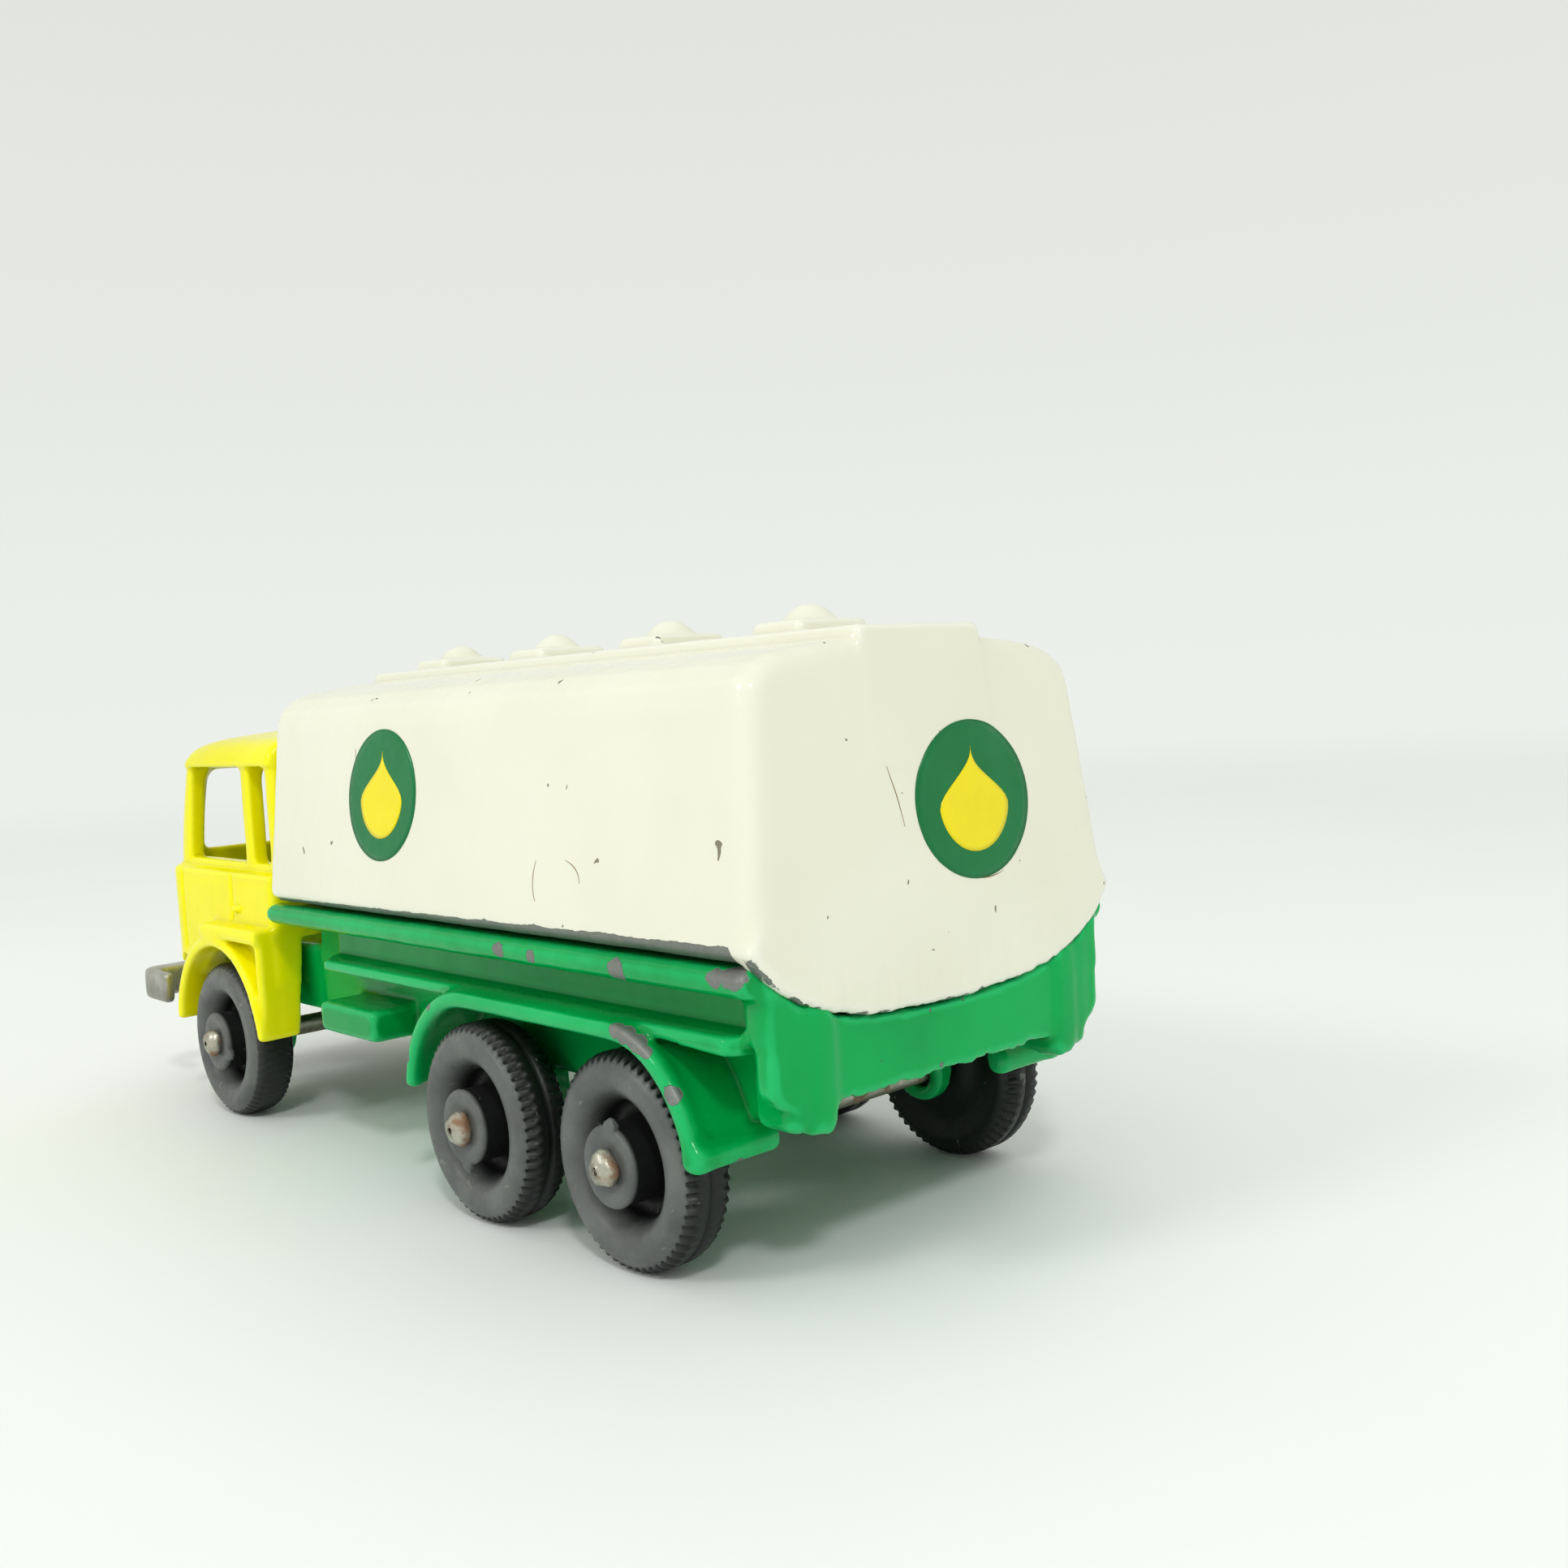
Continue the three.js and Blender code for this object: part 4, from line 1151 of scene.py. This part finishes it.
def make_floor():
    """A white card that melts into the surround a hand's breadth away from the truck."""
    vertices, faces = [], []
    count = 64
    for radius in FLOOR_RINGS:
        for j in range(count):
            turn = 2 * math.pi * j / count
            vertices.append((radius * math.cos(turn), radius * math.sin(turn), 0))
    faces.append(list(range(count)))
    for i in range(len(FLOOR_RINGS) - 1):
        for j in range(count):
            a, b = i * count + j, i * count + (j + 1) % count
            faces.append([a + count, b + count, b, a])
    mesh = bpy.data.meshes.new("floor")
    mesh.from_pydata(vertices, [], faces)
    floor = in_scene("floor", mesh)
    s = Shader("floor_card")
    s.set(Base_Color=s.mix(s.noise(0.02, 3), shade(248, 249, 250), shade(243, 245, 245)))
    s.set(Roughness=0.6, Normal=s.bump(s.noise(1.5, 3), 0.01), Specular_IOR_Level=0.3)
    away = s.nodes.new("ShaderNodeVectorMath")
    away.operation = "LENGTH"
    s.put(away.inputs[0], s.place)
    glow = s.nodes.new("ShaderNodeEmission")
    glow.inputs["Color"].default_value = HORIZON
    glow.inputs["Strength"].default_value = SURROUND
    melt = s.nodes.new("ShaderNodeMixShader")
    s.put(melt.inputs[0], s.ramp(away.outputs["Value"], *MELT))
    s.put(melt.inputs[1], s.main.outputs[0])
    s.put(melt.inputs[2], glow.outputs[0])
    s.put(s.nodes["Material Output"].inputs["Surface"], melt.outputs[0])
    mesh.materials.append(s.material)


def add_lamp(name, place, size, power):
    data = bpy.data.lights.new(name, "AREA")
    data.shape = "DISK"
    data.size = size
    data.energy = power
    lamp = in_scene(name, data)
    lamp.location = place
    lamp.rotation_euler = (Vector(AIM) - Vector(place)).to_track_quat("-Z", "Y").to_euler()


def make_light():
    """A pale surround, a touch brighter near the horizon, and two lamps high on the left."""
    world = bpy.data.worlds.new("studio")
    world.use_nodes = True
    nodes, links = world.node_tree.nodes, world.node_tree.links
    height = nodes.new("ShaderNodeSeparateXYZ")
    links.new(nodes.new("ShaderNodeTexCoord").outputs["Generated"], height.inputs["Vector"])
    rise = nodes.new("ShaderNodeMapRange")
    rise.inputs["From Max"].default_value = 0.4
    links.new(height.outputs["Z"], rise.inputs["Value"])
    sky = nodes.new("ShaderNodeMix")
    sky.data_type = "RGBA"
    links.new(rise.outputs["Result"], sky.inputs["Factor"])
    sky.inputs["A"].default_value = HORIZON
    sky.inputs["B"].default_value = shade(227, 230, 223)
    nodes["Background"].inputs["Strength"].default_value = SURROUND
    links.new(sky.outputs["Result"], nodes["Background"].inputs["Color"])
    bpy.context.scene.world = world
    for lamp in LAMPS:
        add_lamp(*lamp)


CAMERA_HEADING = math.radians(-42.49)  # from +X towards +Y
CAMERA_RISE = math.radians(-3.33)
CAMERA_ROLL = math.radians(-3.35)
CAMERA_FROM_REAR_AXLE = Vector((-60.17, 55.88, 27.92))  # from a point on the ground under the axle
LENS = 34.85  # on a 36 mm sensor


def make_camera():
    data = bpy.data.cameras.new("camera")
    data.lens = LENS
    data.sensor_width = 36
    data.clip_start = 0.004
    camera = in_scene("camera", data)
    flat = math.cos(CAMERA_RISE)
    along, aside = math.cos(CAMERA_HEADING) * flat, math.sin(CAMERA_HEADING) * flat
    ahead = Vector((along, aside, math.sin(CAMERA_RISE)))
    right = ahead.cross(Vector((0, 0, 1))).normalized()
    up = right.cross(ahead)
    cos, sin = math.cos(CAMERA_ROLL), math.sin(CAMERA_ROLL)
    right, up = cos * right + sin * up, cos * up - sin * right
    turn = Matrix((right, up, -ahead)).transposed().to_4x4()
    place = (CAMERA_FROM_REAR_AXLE + Vector((REAR_X, 0, 0))) * MM
    camera.matrix_world = Matrix.Translation(place) @ turn
    bpy.context.scene.camera = camera


# ------------ the truck

RIM = [(x, MUDGUARD_Y, z) for x, z in mudguard_path(0)]  # from the rear hem over to the front one
CHASSIS_CHIPS = [  # (x, y, z, radius) of paint knocked off the outer edges
    (REAR_X + 9.5, 13.4, 15.3, 0.8),
    (REAR_X + 6.4, 13.4, 15.2, 0.6),
    (REAR_X - 1.0, 13.4, 15.2, 0.9),
    (REAR_X - 9.4, 13.1, 15.7, 1.1),
    (REAR_X - 8.3, 13.3, 15.6, 0.8),
    (*RIM[10], 0.7),
    (*RIM[9], 0.85),
    (*RIM[8], 0.85),
    (*RIM[7], 0.6),
    (*RIM[4], 0.7),
    (REAR_X - 6.3, 10.9, 6.4, 0.5),
    (*RIM[-3], 0.5),
    (*RIM[-8], 0.4),
    (REAR_X - 10.7, 5.2, 10.5, 0.25),
    (REAR_X - 10.7, 1.6, 12.2, 0.3),
    (REAR_X - 10.7, 1.0, 9.3, 0.4),
    (REAR_X - 10.7, -3.0, 9.2, 0.35),
    (REAR_X - 6.2, -13.3, 7.0, 0.8),
    (REAR_X + 14.0, -13.4, 15.3, 1.0),
]
TANK_CHIPS = [
    (TANK_LOW.x, 11.4, 14.0, 0.6),
    (TANK_LOW.x, 4.0, 12.55, 0.4),
    (TANK_LOW.x, -2.0, 12.55, 0.4),
    (TANK_LOW.x, -9.5, 13.2, 0.5),
]


GRID = {"tank": 0.22, "chassis": 0.2, "cab": 0.17, "front_base": 0.2}  # step of each field


def bared_foot_and_rim(vertices):
    """Mixes the foot of the tank towards bare metal in a band that grows towards the back, and the back
    panel's rim partly so.
    """
    x, y, z = vertices.T
    height = 0.2 + 0.6 * (TANK_HIGH.x - x) / (TANK_HIGH.x - TANK_LOW.x)
    low = 1 - ease(z - SILL_Z - 0.05, 0.6 * height, 1.25 * height)
    sill = 0.8 * low * (np.abs(y) > TANK_HIGH.y - 1.0) * (x > TANK_LOW.x + 1.5)
    rim = ease(polygon(y, z, back_panel_outline()), -0.32, -0.05) * (z < SILL_Z + 0.4)
    return np.maximum(sill, 0.36 * rim * (x < TANK_LOW.x + 0.9))


def make_truck():
    points = Points(TANK_LOW, TANK_HIGH, GRID["tank"])
    field = tank_field(points)
    tank = casting(
        "tank", points, field, IVORY, 1, TANK_CHIPS, edit=ragged_tank, worn=bared_foot_and_rim
    )
    points = Points(CHASSIS_LOW, CHASSIS_HIGH, GRID["chassis"])
    field = chassis_field(points)
    casting("chassis", points, field, GREEN, 2, CHASSIS_CHIPS, edit=ragged_chassis)
    points = Points(CAB_LOW, CAB_HIGH, GRID["cab"])
    casting("cab", points, cab_field(points), YELLOW, 3, body="cab")
    points = Points(BASE_LOW, BASE_HIGH, GRID["front_base"])
    casting("front_base", points, base_field(points), ZINC, 4)
    make_fibres(tank)
    for place in AXLES:
        make_axle(place)
        make_wheel(place + "_wheel_left")
        make_wheel(place + "_wheel_right")
    make_pin()
    for side, way in (("left", 1), ("right", -1)):
        flank = (REAR_X + 22.9, 12.5 * way, 23.4)
        make_emblem("flank_emblem_" + side, tank, flank, (0, way, 0.114), 8.2, 7.9)
    make_emblem("rear_emblem", tank, (TANK_LOW.x + 0.5, -2.5, 22.2), (-1, 0, RAKE), 8.6, 8.0)


make_truck()
make_floor()
make_light()
make_camera()
bpy.context.scene.view_settings.view_transform = "Standard"
bpy.context.scene.view_settings.look = "Medium High Contrast"
